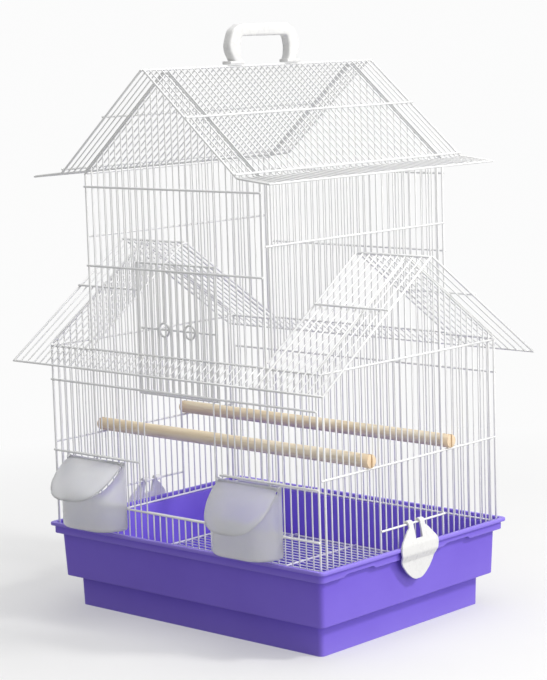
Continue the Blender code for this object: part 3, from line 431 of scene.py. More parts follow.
def resampled(path, stations, knot, knot_share):
    """A path walked by its length. The point nearest the knot falls at the knot's share of the stations."""
    reach = np.concatenate([[0], np.cumsum(np.linalg.norm(np.diff(path, axis=0), axis=1))])
    at_knot = reach[np.argmin(np.linalg.norm(path - knot, axis=1))]
    share = np.linspace(0, 1, stations)
    walked = np.interp(share, [0, knot_share, 1], [0, at_knot, reach[-1]])
    return np.stack([np.interp(walked, reach, path[:, i]) for i in range(path.shape[1])], axis=1)


def turned_about_x(points, angle, centre):
    """Points given about a hinge line along X, turned about it by the angle and set at the centre."""
    x, y, z = np.moveaxis(np.asarray(points), -1, 0)
    turned = at(x, y * math.cos(angle) - z * math.sin(angle), y * math.sin(angle) + z * math.cos(angle))
    return turned + np.asarray(centre)


# Pieces

def make_piece(name, groups, node, materials, angle=40, marks=None):
    """A mesh from groups (shape, number of its material) that stands for a node and moves with its body."""
    points, quads, tris = joined([shape for shape, paint in groups])
    quad_paint = np.concatenate([np.full(len(shape[1]), paint) for shape, paint in groups])
    tri_paint = np.concatenate([np.full(len(shape[2]), paint) for shape, paint in groups])
    data = bpy.data.meshes.new(name)
    data.vertices.add(len(points))
    data.vertices.foreach_set("co", points.ravel())
    data.loops.add(quads.size + tris.size)
    data.loops.foreach_set("vertex_index", np.concatenate([quads.ravel(), tris.ravel()]).astype(np.int32))
    data.polygons.add(len(quads) + len(tris))
    starts = np.concatenate([np.arange(len(quads)) * 4, quads.size + np.arange(len(tris)) * 3])
    data.polygons.foreach_set("loop_start", starts.astype(np.int32))
    data.polygons.foreach_set("material_index", np.concatenate([quad_paint, tri_paint]).astype(np.int32))
    data.update(calc_edges=True)
    data.validate()
    for material in materials:
        data.materials.append(material)
    for word, values in (marks or {}).items():
        data.attributes.new(word, "FLOAT", "POINT").data.foreach_set("value", values.astype(np.float32))
    data.shade_smooth()
    data.set_sharp_from_angle(angle=math.radians(angle))
    piece = bpy.data.objects.new(name, data)
    bpy.context.scene.collection.objects.link(piece)
    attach(piece, frame["nodes"][node]["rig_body"])
    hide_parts(node)
    return piece


def make_panel(node, sets, bead_sets, extra=()):
    """A wire panel from sets (paths, thickness) and weld beads (places, size)."""
    groups = [(bars(paths, thickness), 0) for paths, thickness in sets if len(paths)]
    groups += [(shape, 0) for shape in extra]
    groups += [(beads(places, size), 1) for places, size in bead_sets if len(places)]
    return make_piece(f"{node}_wires", groups, node, [wire_finish, weld_finish])


# Node materials

def start_material(name, colour, roughness):
    made = bpy.data.materials.new(name)
    made.use_nodes = True
    shader = made.node_tree.nodes["Principled BSDF"]
    shader.inputs["Base Color"].default_value = (*colour, 1.0)
    shader.inputs["Roughness"].default_value = roughness
    made.diffuse_color = (*colour, 1.0)
    return made, made.node_tree, shader


def speckle(tree, scale, detail=3.0, stretch=(1.0, 1.0, 1.0)):
    """Noise on object coordinates. The stretch draws its grains out along an axis."""
    place = tree.nodes.new("ShaderNodeTexCoord")
    mapping = tree.nodes.new("ShaderNodeMapping")
    mapping.inputs["Scale"].default_value = stretch
    noise = tree.nodes.new("ShaderNodeTexNoise")
    noise.inputs["Scale"].default_value = scale
    noise.inputs["Detail"].default_value = detail
    tree.links.new(place.outputs["Object"], mapping.inputs["Vector"])
    tree.links.new(mapping.outputs["Vector"], noise.inputs["Vector"])
    return noise.outputs["Fac"]


def tint(tree, value, stops):
    """Colours by value. stops: (value, colour)."""
    ramp = tree.nodes.new("ShaderNodeValToRGB")
    while len(ramp.color_ramp.elements) < len(stops):
        ramp.color_ramp.elements.new(0.5)
    for element, (position, colour) in zip(ramp.color_ramp.elements, stops):
        element.position = position
        element.color = (*colour, 1.0)
    tree.links.new(value, ramp.inputs["Fac"])
    return ramp.outputs["Color"]


def ranged(tree, value, low, high, from_low=0.3, from_high=0.7):
    """A number between low and high, by value."""
    made = tree.nodes.new("ShaderNodeMapRange")
    settings = {"From Min": from_low, "From Max": from_high, "To Min": low, "To Max": high}
    for word, setting in settings.items():
        made.inputs[word].default_value = setting
    tree.links.new(value, made.inputs["Value"])
    return made.outputs["Result"]


def blended(tree, share, first, second):
    """A mix of two colours. Each is a socket or a plain colour."""
    made = tree.nodes.new("ShaderNodeMix")
    made.data_type = "RGBA"
    tree.links.new(share, made.inputs[0])
    colours = [socket for socket in made.inputs if socket.type == "RGBA"]
    for socket, colour in zip(colours, (first, second)):
        if isinstance(colour, tuple):
            socket.default_value = (*colour, 1.0)
        else:
            tree.links.new(colour, socket)
    return next(socket for socket in made.outputs if socket.type == "RGBA")


def relief(tree, shader, value, depth):
    """Bumps of that depth in metres."""
    made = tree.nodes.new("ShaderNodeBump")
    made.inputs["Strength"].default_value = 1.0
    made.inputs["Distance"].default_value = depth
    tree.links.new(value, made.inputs["Height"])
    tree.links.new(made.outputs["Normal"], shader.inputs["Normal"])


def mark(tree, word):
    """A number that the mesh carries at each point."""
    made = tree.nodes.new("ShaderNodeAttribute")
    made.attribute_name = word
    return made.outputs["Fac"]


def coated_wire():
    """White powder coat: an even satin skin with orange peel, thinner and warmer in places."""
    made, tree, shader = start_material("coated_wire", (0.92, 0.925, 0.92), 0.3)
    cloud = speckle(tree, 28, 4)
    stops = ((0.35, (0.89, 0.895, 0.90)), (0.5, (0.92, 0.925, 0.92)), (0.68, (0.935, 0.935, 0.925)))
    tree.links.new(tint(tree, cloud, stops), shader.inputs["Base Color"])
    tree.links.new(ranged(tree, speckle(tree, 90, 2), 0.27, 0.42), shader.inputs["Roughness"])
    relief(tree, shader, speckle(tree, 900, 2), 0.00006)
    shader.inputs["Coat Weight"].default_value = 0.5
    shader.inputs["Coat Roughness"].default_value = 0.2
    return made


def coated_weld():
    """The coat where it has run over a weld: a little greyer and rougher."""
    made, tree, shader = start_material("coated_weld", (0.87, 0.875, 0.88), 0.42)
    stops = ((0.35, (0.83, 0.84, 0.85)), (0.65, (0.90, 0.90, 0.90)))
    tree.links.new(tint(tree, speckle(tree, 240, 3), stops), shader.inputs["Base Color"])
    relief(tree, shader, speckle(tree, 1400, 2), 0.0001)
    return made


def purple_plastic():
    """Moulded purple plastic with a fine grain, faint flow clouds, hair scratches and paler worn edges."""
    made, tree, shader = start_material("purple_plastic", (0.21, 0.13, 0.76), 0.32)
    cloud = speckle(tree, 9, 5)
    stops = ((0.3, (0.195, 0.118, 0.73)), (0.5, (0.21, 0.13, 0.76)), (0.72, (0.225, 0.145, 0.79)))
    base = tint(tree, cloud, stops)
    worn = blended(tree, mark(tree, "wear"), base, (0.32, 0.24, 0.85))
    tree.links.new(worn, shader.inputs["Base Color"])
    scratches = speckle(tree, 60, 6, (1.0, 1.0, 6.0))
    tree.links.new(ranged(tree, scratches, 0.28, 0.42), shader.inputs["Roughness"])
    shader.inputs["Specular IOR Level"].default_value = 0.2
    relief(tree, shader, speckle(tree, 500, 2), 0.00002)
    return made


def turned_wood():
    """Pale dowel wood: grain drawn out along the perch, darker rings, and darker handled ends."""
    made, tree, shader = start_material("turned_wood", (0.93, 0.81, 0.60), 0.62)
    grain = speckle(tree, 90, 6, (0.09, 1.0, 1.0))
    stops = (
        (0.25, (0.83, 0.67, 0.45)),
        (0.42, (0.91, 0.77, 0.55)),
        (0.58, (0.94, 0.83, 0.64)),
        (0.78, (0.96, 0.88, 0.72)),
    )
    pores = tint(tree, speckle(tree, 420, 3, (0.06, 1.0, 1.0)), ((0.38, (0.9, 0.9, 0.9)), (0.46, (0, 0, 0))))
    dark = ranged(tree, pores, 0.0, 0.3, 0.0, 1.0)
    body = blended(tree, dark, tint(tree, grain, stops), (0.70, 0.52, 0.32))
    tree.links.new(blended(tree, mark(tree, "end"), body, (0.84, 0.58, 0.35)), shader.inputs["Base Color"])
    tree.links.new(ranged(tree, grain, 0.55, 0.74), shader.inputs["Roughness"])
    relief(tree, shader, grain, 0.00025)
    return made


def frosted_plastic():
    """Milky grey plastic that lets some light through, with a fine matt skin."""
    made, tree, shader = start_material("frosted_plastic", (0.94, 0.945, 0.95), 0.45)
    stops = ((0.3, (0.91, 0.92, 0.94)), (0.5, (0.94, 0.945, 0.95)), (0.7, (0.96, 0.96, 0.965)))
    tree.links.new(tint(tree, speckle(tree, 45, 4), stops), shader.inputs["Base Color"])
    tree.links.new(ranged(tree, speckle(tree, 160, 3), 0.30, 0.46), shader.inputs["Roughness"])
    shader.inputs["Transmission Weight"].default_value = 0.75
    shader.inputs["IOR"].default_value = 1.46
    relief(tree, shader, speckle(tree, 800, 2), 0.00004)
    return made


def white_plastic():
    """Moulded white plastic: a soft gloss with slight sink marks and a grain."""
    made, tree, shader = start_material("white_plastic", (0.83, 0.83, 0.82), 0.3)
    stops = ((0.3, (0.80, 0.80, 0.80)), (0.5, (0.83, 0.83, 0.82)), (0.7, (0.85, 0.85, 0.84)))
    tree.links.new(tint(tree, speckle(tree, 40, 4), stops), shader.inputs["Base Color"])
    tree.links.new(ranged(tree, speckle(tree, 130, 3), 0.22, 0.38), shader.inputs["Roughness"])
    relief(tree, shader, speckle(tree, 600, 2), 0.000012)
    return made


# Where the wires stand

def spread(low, high):
    """Even places from low to high, close to one pitch apart."""
    return np.linspace(low, high, max(1, round((high - low) / PITCH)) + 1)


def columns(zones, fixed):
    """Places of the wires: even in each zone, but clear of the fixed ones, which are added.
    fixed: {place: room}."""
    even = np.unique(np.round(np.concatenate([spread(*zone) for zone in zones]), 7))
    places, room = np.array(list(fixed)), np.array(list(fixed.values()))
    if fixed:
        even = even[(np.abs(even[:, None] - places) > room).all(axis=1)]
    return np.sort(np.concatenate([even, places]))


def upright(x, y, low, high):
    """Straight wires from low to high, one at each place."""
    x, y, low, high = np.broadcast_arrays(*np.atleast_1d(x, y, low, high))
    return np.stack([at(x, y, low), at(x, y, high)], axis=1)


def collars(x, y, low, high):
    """Where upright wires end: on top of the lower rail and under the upper one."""
    return np.concatenate([at(x, y, low + RAIL / 2), at(x, y, high - RAIL / 2)])


def lower_roof_z(y):
    return EAVES_Z + (HALF_DEPTH - np.abs(y)) * math.tan(LOWER_SLOPE)


def upper_roof_z(x):
    return RIDGE_Z - np.abs(x) * math.tan(UPPER_SLOPE)


def rake_drop(slope):
    """How far a wall's sloping top rail lies below the wires of the roof over it."""
    return (WIRE / 2 + FIT + RAIL / 2) / math.cos(slope)


def end_wall_top(x):
    """Height at which an upright wire of the front or back wall ends."""
    shoulder = EAVES_Z - (STILE / 2) / math.cos(LOWER_SLOPE) - RAIL / 2 * (1 + math.tan(LOWER_SLOPE)) - FIT
    gable = upper_roof_z(np.maximum(np.abs(x), RIDGE_FLAT)) - rake_drop(UPPER_SLOPE)
    return np.where(np.abs(x) > HALF_TOWER + WIRE / 2, shoulder, gable)


def end_wall(node, side, openings, outer_rails):
    """The front or back wall with its tower gable. openings: (left, right, bottom, top)."""
    y = side * HALF_DEPTH
    outer_y = side * (HALF_DEPTH + OUTER_RAIL)
    posts = [-HALF_LENGTH, -HALF_TOWER, HALF_TOWER, HALF_LENGTH]
    edges = [edge for opening in openings for edge in opening[:2]]
    zones = [(-HALF_LENGTH, -HALF_TOWER), (-HALF_TOWER, HALF_TOWER), (HALF_TOWER, HALF_LENGTH)]
    x = columns(zones, {place: POST_ROOM for place in posts + edges})
    is_post = np.isin(x, posts)
    whole = ~is_post
    wires = []
    for left, right, bottom, top in openings:
        inside = (x > left) & (x < right)
        whole &= ~inside
        wires.append(upright(x[inside], y, FOOT_RAIL_Z, bottom))
        wires.append(upright(x[inside], y, top, end_wall_top(x[inside])))
    wires.append(upright(x[whole], y, FOOT_RAIL_Z, end_wall_top(x[whole])))
    stiles = upright(x[is_post], y, FOOT_RAIL_Z, end_wall_top(x[is_post]))
    shoulder_z = float(end_wall_top(HALF_LENGTH))
    end = HALF_LENGTH + TIP
    rake_end = HALF_TOWER + TIP
    rake_end_z = float(end_wall_top(HALF_TOWER)) - TIP * math.tan(UPPER_SLOPE)
    crown_z = float(end_wall_top(0))
    flush = [
        [(-end, y, FOOT_RAIL_Z), (end, y, FOOT_RAIL_Z)],
        [(-end, y, shoulder_z), (-HALF_TOWER, y, shoulder_z)],
        [(HALF_TOWER, y, shoulder_z), (end, y, shoulder_z)],
    ]
    for left, right, bottom, top in openings:
        flush += [[(left, y, z), (right, y, z)] for z in (bottom, top)]
    rake_x = np.array([-rake_end, -RIDGE_FLAT, RIDGE_FLAT, rake_end])
    rake_z = np.array([rake_end_z, crown_z, crown_z, rake_end_z])
    rake = rounded(at(rake_x, y, rake_z), (GABLE_BEND, GABLE_BEND), 3)
    outer = [[(low, outer_y, z), (high, outer_y, z)] for low, high, z in outer_rails]
    weld_y = side * (HALF_DEPTH + WIRE / 2)
    crossings = [at(x[(x > low) & (x < high)], weld_y, z) for low, high, z in outer_rails]
    ends = collars(x, y, FOOT_RAIL_Z, end_wall_top(x))
    sets = [(np.concatenate(wires), WIRE), (stiles, STILE), (flush, RAIL), ([rake], RAIL), (outer, RAIL)]
    return make_panel(node, sets, [(np.concatenate(crossings), WELD_SIZE), (ends, COLLAR_SIZE)])


def end_walls():
    """The front wall with the openings of the door and the feeders, and the plain back wall."""
    end = HALF_LENGTH + TIP
    tower_end = HALF_TOWER + TIP
    half_door = DOOR_OPENING_LENGTH / 2
    half_feeder = FEEDER_OPENING_LENGTH / 2
    middle = half_door + MID_RAIL_SETBACK
    tower_rails = [
        (-tower_end, tower_end, EAVES_Z + TOWER_LOWER_RAIL_RISE),
        (-tower_end, tower_end, BEND_Z - TOWER_UPPER_RAIL_DROP),
    ]
    house_rails = [(-end, end, SILL_Z), (-end, end, DOOR_HEAD_Z)]
    front_only = [(-end, -middle, FEEDER_HEAD_Z), (middle, end, FEEDER_HEAD_Z)]
    openings = [(-half_door, half_door, SILL_Z, DOOR_HEAD_Z)]
    for x in (LEFT_FEEDER_X, RIGHT_FEEDER_X):
        openings.append((x - half_feeder, x + half_feeder, SILL_Z, FEEDER_HEAD_Z))
    end_wall("front_wall", -1, openings, house_rails + front_only + tower_rails)
    end_wall("back_wall", 1, [], house_rails[1:] + tower_rails)


def side_columns(fixed):
    """Places of the side wires between the front and back walls."""
    found = columns([(-HALF_DEPTH, HALF_DEPTH)], fixed)
    return found[np.abs(found) < HALF_DEPTH - PITCH / 2]


def sloping_rail(x, rise):
    """A rail along both slopes of the lower roof."""
    end = HALF_DEPTH - WALL_END - RAIL / 2 * math.sin(LOWER_SLOPE)
    y = np.array([-end, -RIDGE_FLAT, RIDGE_FLAT, end])
    return rounded(at(x, y, lower_roof_z(y) + rise), (GABLE_BEND, GABLE_BEND), 3)


def side_wall(node, side):
    """A side wall of the house, with the bar that its clip hangs on."""
    x = side * HALF_LENGTH
    outer_x = side * (HALF_LENGTH + OUTER_RAIL)
    perch_room = max(POST_ROOM, PERCH_RADIUS + WIRE / 2 + FIT)
    posts = [sign * place for place in (HALF_DEPTH - PITCH, CLIP_BAR_LENGTH / 2) for sign in (-1, 1)]
    fixed = {post: POST_ROOM for post in posts}
    fixed |= {sign * share * PITCH: 0.45 * PITCH for share in (0.5, 1.5) for sign in (-1, 1)}
    fixed |= {FRONT_PERCH_Y: perch_room, BACK_PERCH_Y: perch_room}
    drop = rake_drop(LOWER_SLOPE)
    y = side_columns(fixed)
    top = lower_roof_z(np.maximum(np.abs(y), RIDGE_FLAT)) - drop
    is_post = np.isin(y, posts)
    uprights = upright(x, y, FOOT_RAIL_Z, top)
    end = HALF_DEPTH - WALL_END
    clip_end = CLIP_BAR_LENGTH / 2 + TIP
    spans = [(end, PERCH_RAIL_Z), (end, EAVES_Z - GABLE_RAIL_DROP), (clip_end, CLIP_BAR_Z)]
    outer = [[(outer_x, -reach, z), (outer_x, reach, z)] for reach, z in spans]
    weld_x = side * (HALF_LENGTH + WIRE / 2)
    crossings = [at(weld_x, y[np.abs(y) < reach], z) for reach, z in spans]
    joints = collars(x, y, FOOT_RAIL_Z, top)
    foot = [[(x, -end, FOOT_RAIL_Z), (x, end, FOOT_RAIL_Z)]]
    sets = [(uprights[~is_post], WIRE), (uprights[is_post], STILE)]
    sets += [(foot, RAIL), ([sloping_rail(x, -drop)], RAIL), (outer, RAIL)]
    return make_panel(node, sets, [(np.concatenate(crossings), WELD_SIZE), (joints, COLLAR_SIZE)])


def tower_side(node, side):
    """A side wall of the tower. Its lower edge follows the slopes of the lower roof."""
    x = side * HALF_TOWER
    outer_x = side * (HALF_TOWER + OUTER_RAIL)
    lip_slope = math.atan2(LIP_FALL, LIP_REACH)
    top = BEND_Z - (WIRE / 2) / math.cos(UPPER_SLOPE) - RAIL / 2 * (1 + math.tan(lip_slope)) - FIT
    end = HALF_DEPTH - WALL_END
    posts = [sign * (HALF_DEPTH - PITCH) for sign in (-1, 1)]
    y = side_columns({post: POST_ROOM for post in posts})
    is_post = np.isin(y, posts)
    bottom = lower_roof_z(np.maximum(np.abs(y), RIDGE_FLAT))
    uprights = upright(x, y, bottom, top)
    rail_z = EAVES_Z + TOWER_SIDE_RAIL_RISE
    head = [[(x, -end, top), (x, end, top)]]
    outer = [[(outer_x, -end, rail_z), (outer_x, end, rail_z)]]
    crossings = at(side * (HALF_TOWER + WIRE / 2), y, rail_z)
    joints = collars(x, y, bottom, top)
    sets = [(uprights[~is_post], WIRE), (uprights[is_post], STILE)]
    sets += [([sloping_rail(x, 0)], RAIL), (head, RAIL), (outer, RAIL)]
    return make_panel(node, sets, [(crossings, WELD_SIZE), (joints, COLLAR_SIZE)])


def lower_slope(x, low, high, top_y, end_side):
    """Wires down a slope of the lower roof, the two rails that they end on, and the weld beads there."""
    ends = (end_side * (HALF_DEPTH + EAVE_OVERHANG), top_y)
    wires = np.stack([at(x, y, lower_roof_z(y)) for y in ends], axis=1)
    rails = [[(low, y, lower_roof_z(y)), (high, y, lower_roof_z(y))] for y in ends]
    bead_y = [y + end_side * shift * RAIL / 2 for y, shift in zip(ends, (-0.8, 0.8))]
    return wires, rails, np.concatenate([at(x, y, lower_roof_z(y)) for y in bead_y])


def wing_roof(node, side, end_side):
    """One slope of the lower roof beside the tower, with a raised rail across its wires."""
    inner = HALF_TOWER + STILE / 2 + FIT
    rake = HALF_LENGTH + SIDE_OVERHANG
    x = columns([(HALF_TOWER, HALF_LENGTH), (HALF_LENGTH, rake)], {})
    x = x[x > inner + WIRE]
    low, high = side * inner, side * (rake + TIP)
    wires, flush, joints = lower_slope(side * x, low, high, end_side * RIDGE_RAIL, end_side)
    lift = OUTER_RAIL * math.cos(LOWER_SLOPE)
    raised_y = end_side * (LOWER_RAIL_Y + OUTER_RAIL * math.sin(LOWER_SLOPE))
    raised_z = lower_roof_z(LOWER_RAIL_Y) + lift
    raised = [[(low, raised_y, raised_z), (high, raised_y, raised_z)]]
    middle_y = end_side * LOWER_RAIL_Y
    crossings = at(side * x, (middle_y + raised_y) / 2, raised_z - lift / 2)
    sets = [(wires[1:-1], WIRE), (wires[[0, -1]], STILE), (flush, RAIL), (raised, RAIL)]
    return make_panel(node, sets, [(crossings, ROOF_WELD_SIZE), (joints, ROOF_WELD_SIZE)])


def skirt(node, end_side):
    """The lower roof's overhang along the tower's front or back."""
    x = columns([(-HALF_TOWER, HALF_TOWER)], {})
    end = HALF_TOWER + RAIL / 2
    top_y = end_side * (HALF_DEPTH + STILE / 2 + FIT + RAIL_CORNER)
    wires, flush, joints = lower_slope(x, -end, end, top_y, end_side)
    return make_panel(node, [(wires, WIRE), (flush, RAIL)], [(joints, ROOF_WELD_SIZE)])


def upper_roof(node, side):
    """One slope of the upper roof, with its flared lip, in wires bent over the tower wall."""
    rake = HALF_DEPTH + GABLE_OVERHANG
    zones = [(-rake, -HALF_DEPTH), (-HALF_DEPTH, HALF_DEPTH), (HALF_DEPTH, rake)]
    x = side * np.array([RIDGE_RAIL, HALF_TOWER, HALF_TOWER + LIP_REACH])
    z = np.array([float(upper_roof_z(RIDGE_RAIL)), BEND_Z, BEND_Z - LIP_FALL])
    line = rounded(at(x, 0.0, z), (BEND_RADIUS,), 5)
    y = columns(zones, {})
    wires = line + at(0.0, y, 0.0)[:, None]
    end = rake + TIP
    flush = [[(x[i], -end, z[i]), (x[i], end, z[i])] for i in (0, 2)]
    raised, crossings = [], []
    for rail_x in (UPPER_RAIL_X, HALF_TOWER - BEND_RAIL_SETBACK):
        shift, lift = OUTER_RAIL * math.sin(UPPER_SLOPE), OUTER_RAIL * math.cos(UPPER_SLOPE)
        out, up = side * (rail_x + shift), float(upper_roof_z(rail_x)) + lift
        raised.append([(out, -end, up), (out, end, up)])
        crossings.append(at(side * (rail_x + shift / 2), y, up - lift / 2))
    joints = np.concatenate([
        at(x[0] + side * RIDGE_BEAD_IN, y, z[0] - RIDGE_BEAD_DROP),
        at(x[2] - side * EAVE_BEAD_IN, y, z[2] + EAVE_BEAD_RISE),
    ])
    sets = [(wires[1:-1], WIRE), (wires[[0, -1]], STILE), (flush, RAIL), (raised, RAIL)]
    return make_panel(node, sets, [(np.concatenate(crossings), ROOF_WELD_SIZE), (joints, ROOF_WELD_SIZE)])


def front_door():
    """The sliding door, raised. Its two finger rings lie half way up."""
    half = DOOR_OPENING_LENGTH / 2 + DOOR_SIDE_LAP
    bottom = DOOR_HEAD_Z - DOOR_END_LAP
    top = bottom + DOOR_OPENING_HEIGHT + 2 * DOOR_END_LAP
    middle = (bottom + top) / 2
    ring_room = FINGER_RING_RADIUS + RAIL / 2 + WIRE / 2 + WELD_GAP
    rings = (-FINGER_RING_X, FINGER_RING_X)
    x = columns([(-half, half)], {place: ring_room for place in rings})
    inner = x[1:-1]
    whole = inner[~np.isin(inner, rings)]
    broken = np.array(rings)
    wires = np.concatenate([
        upright(whole, DOOR_Y, bottom, top),
        upright(broken, DOOR_Y, bottom, middle - FINGER_RING_RADIUS),
        upright(broken, DOOR_Y, middle + FINGER_RING_RADIUS, top),
    ])
    stiles = upright(np.array([-half, half]), DOOR_Y, bottom, top)
    end = half + TIP
    flush = [[(-end, DOOR_Y, z), (end, DOOR_Y, z)] for z in (bottom, top)]
    behind = [[(-end, DOOR_Y + OUTER_RAIL, middle), (end, DOOR_Y + OUTER_RAIL, middle)]]
    loops = [ring_bar((place, DOOR_Y, middle), FINGER_RING_RADIUS, RAIL) for place in rings]
    joints = collars(inner, DOOR_Y, bottom, top)
    crossings = at(np.concatenate([whole, x[[0, -1]]]), DOOR_Y + WIRE / 2, middle)
    sets = [(wires, WIRE), (stiles, STILE), (flush, RAIL), (behind, RAIL)]
    return make_panel("front_door", sets, [(crossings, WELD_SIZE), (joints, COLLAR_SIZE)], loops)


def floor_grate():
    """A wire grate on the tray's inner ledge, with three cross rails over its wires."""
    inner = -TRAY_INSET - TRAY_DRAFT - TRAY_WALL - GRATE_PLAY
    half_x, half_y = HALF_LENGTH + inner, HALF_DEPTH + inner
    z = TRAY_FOOT_HEIGHT + TRAY_WALL + FIT + STILE / 2
    y = columns([(-half_y, half_y)], {})
    lines = np.stack([at(-half_x, y, z), at(half_x, y, z)], axis=1)
    ends = [[(x, -half_y, z), (x, half_y, z)] for x in (-half_x, half_x)]
    cross_x = (-half_x / 2, 0, half_x / 2)
    crossing = [[(x, -half_y, z + OUTER_RAIL), (x, half_y, z + OUTER_RAIL)] for x in cross_x]
    welds = np.concatenate([at(x, y, z + WIRE / 2) for x in cross_x])
    joints = np.concatenate([at(x, y, z) for x in (-half_x + RAIL / 2, half_x - RAIL / 2)])
    sets = [(lines[1:-1], WIRE), (lines[[0, -1]], STILE), (ends, RAIL), (crossing, RAIL)]
    return make_panel("floor_grate", sets, [(welds, FLOOR_WELD_SIZE), (joints, ROOF_WELD_SIZE)])


# Tray

def tray_profile():
    """The wall's section as (offset from the walls' plane, height, radius of the corner, wear), from the
    bottom's edge up the outside, over the rim and down the inside to the floor."""
    body = -TRAY_INSET
    shelf = body - TRAY_DRAFT
    foot = shelf - TRAY_STEP
    bottom = foot - TRAY_FOOT_DRAFT
    band = REBATE + RIM_BAND
    lip = band - LIP_SET_IN
    under = TRAY_SEAT_HEIGHT - TRAY_WALL
    shelf_z = TRAY_FOOT_HEIGHT + TRAY_WALL
    return [
        (bottom, 0, 0.0012, 0.6),
        (foot, TRAY_FOOT_HEIGHT, 0.0008, 0.0),
        (shelf, TRAY_FOOT_HEIGHT, 0.0010, 0.3),
        (body, under, 0.0008, 0.0),
        (lip - LIP_WALL, under, 0.0004, 0.0),
        (lip - LIP_WALL, LIP_BOTTOM_Z, 0.0006, 0.0),
        (lip, LIP_BOTTOM_Z, 0.0007, 0.5),
        (lip, RIM_UNDER_Z, 0.0004, 0.0),
        (band, RIM_UNDER_Z, 0.0009, 0.7),
        (band, RIM_TOP_Z, 0.0013, 1.0),
        (REBATE, RIM_TOP_Z, 0.0009, 0.6),
        (REBATE, TRAY_SEAT_HEIGHT, 0.0004, 0.0),
        (body - TRAY_WALL, TRAY_SEAT_HEIGHT, 0.0009, 0.3),
        (shelf - TRAY_WALL, shelf_z, 0.0006, 0.0),
        (foot - TRAY_WALL, shelf_z, 0.0009, 0.2),
        (bottom - TRAY_WALL, TRAY_WALL, 0.0015, 0.0),
    ]


def rounded_section(profile, steps=4):
    """Rounds every inner corner of a profile with its own radius and carries its wear."""
    worn = [row[3] for row in profile]
    path = rounded([row[:2] for row in profile], [row[2] for row in profile[1:-1]], steps)
    return path, np.concatenate([worn[:1], np.repeat(worn[1:-1], steps + 1), worn[-1:]])


def plan_loop(offset, radius, corner_steps=8, pace=0.004):
    """Points round a rectangle with round corners, anticlockwise, for a whole array of offsets at once."""
    half_x, half_y = HALF_LENGTH + offset, HALF_DEPTH + offset
    angle = np.linspace(0, math.pi / 2, corner_steps + 1)
    runs = []
    for turn, (sx, sy) in enumerate(((1, 1), (-1, 1), (-1, -1), (1, -1))):
        centre_x, centre_y = sx * (half_x - radius), sy * (half_y - radius)
        bend = angle + turn * math.pi / 2
        runs.append(at(centre_x + radius * np.cos(bend), centre_y + radius * np.sin(bend), 0.0)[..., :2])
    length = (2 * HALF_LENGTH, 2 * HALF_DEPTH)
    loop = []
    for i, run in enumerate(runs):
        after = runs[(i + 1) % 4]
        share = np.linspace(0, 1, round(length[i % 2] / pace) + 1)[1:-1, None]
        start, stop = run[:, -1:], after[:, :1]
        loop += [run, start + share * (stop - start)]
    return np.concatenate(loop, axis=1)


def tray():
    """A stepped section carried round a rectangle with round corners. Rings that shrink to a pole close the
    floor and the underside. On the two sides the lip's lower edge rises in two shallow notches."""
    path, wear = rounded_section(tray_profile())
    offset, height = path[:, :1], path[:, 1:]
    loop = plan_loop(offset, TRAY_CORNER)
    x, y = loop[..., 0], loop[..., 1]
    z = np.broadcast_to(height, x.shape).copy()
    near_edge = (height < LIP_BOTTOM_Z + LIP_EDGE_ABOVE) & (height > LIP_BOTTOM_Z - LIP_EDGE_BELOW)
    low_lip = near_edge & (offset > 0)
    on_side = smooth_step(np.abs(x), HALF_LENGTH - LIP_SIDE_FADE, HALF_LENGTH)
    for start, stop in LIP_NOTCHES:
        past_stop = smooth_step(y, stop - LIP_NOTCH_RUN, stop)
        notch = smooth_step(y, start, start + LIP_NOTCH_RUN) * (1 - past_stop)
        z += np.where(low_lip, LIP_NOTCH_RISE * notch * on_side, 0)
    walls = at(x, y, z)
    inward = np.array([0.12, 0.45, 0.8])[:, None, None]
    level, plumb = np.array([1, 1, 0]), np.array([0, 0, 1])
    inside = walls[-1:] * (level * (1 - inward) + plumb)
    base = walls[:1] * (level * (1 - inward[::-1]) + plumb)
    grid = np.concatenate([base, walls, inside])
    worn = np.concatenate([np.zeros(3), wear, np.zeros(3)])
    marks = {"wear": np.append(np.repeat(worn, grid.shape[1]), [0.0, 0.0])}
    return make_piece("tray_moulding", [(skin(grid), 0)], "tray", [tray_finish], 50, marks)


# Perches

def perch(node, y):
    """A dowel along X. Each end has two D-shaped prongs with a small chamfer, beside the slot for a wire."""
    z = PERCH_RAIL_Z + RAIL / 2 + FIT + PERCH_RADIUS
    end = HALF_LENGTH + PERCH_REACH
    body_end = end - PERCH_SLOT_DEPTH
    half_slot = WIRE / 2 + FIT
    stations = np.linspace(-body_end, body_end, 60)
    angle = np.arange(48) * TAU / 48
    circle = np.stack([PERCH_RADIUS * np.cos(angle), PERCH_RADIUS * np.sin(angle)], axis=1)
    shapes = [sweep(at(stations, y, z), circle, ALONG_Y)]
    start = math.asin(half_slot / PERCH_RADIUS)
    arc = np.linspace(start, math.pi - start, 24)
    prong = np.stack([PERCH_RADIUS * np.cos(arc), PERCH_RADIUS * np.sin(arc)], axis=1)
    middle = np.array([0.0, PERCH_RADIUS / 2])
    for side in (-1, 1):
        reach = np.array([body_end - PRONG_OVERLAP, end - PRONG_CHAMFER, end - PRONG_CHAMFER / 4, end])
        scale = np.array([1.0, 1.0, 0.95, 0.9])[:, None, None]
        across = middle + (prong - middle) * scale
        across[..., 1] = np.maximum(across[..., 1], half_slot)
        path = at(side * reach, y, z)
        for way in (-1, 1):
            section = across[..., ::-1] * np.array([way, 1.0])
            shapes.append(sweep(path, section[:, ::-way], ALONG_Y))
    shape = joined(shapes)
    pale_to, dark_from = (end - reach for reach in PERCH_DARK_ENDS)
    ends = smooth_step(np.abs(shape[0][:, 0]), pale_to, dark_from) * 0.5
    return make_piece(f"{node}_dowel", [(shape, 0)], node, [wood_finish], 35, {"end": ends})


# Feeders

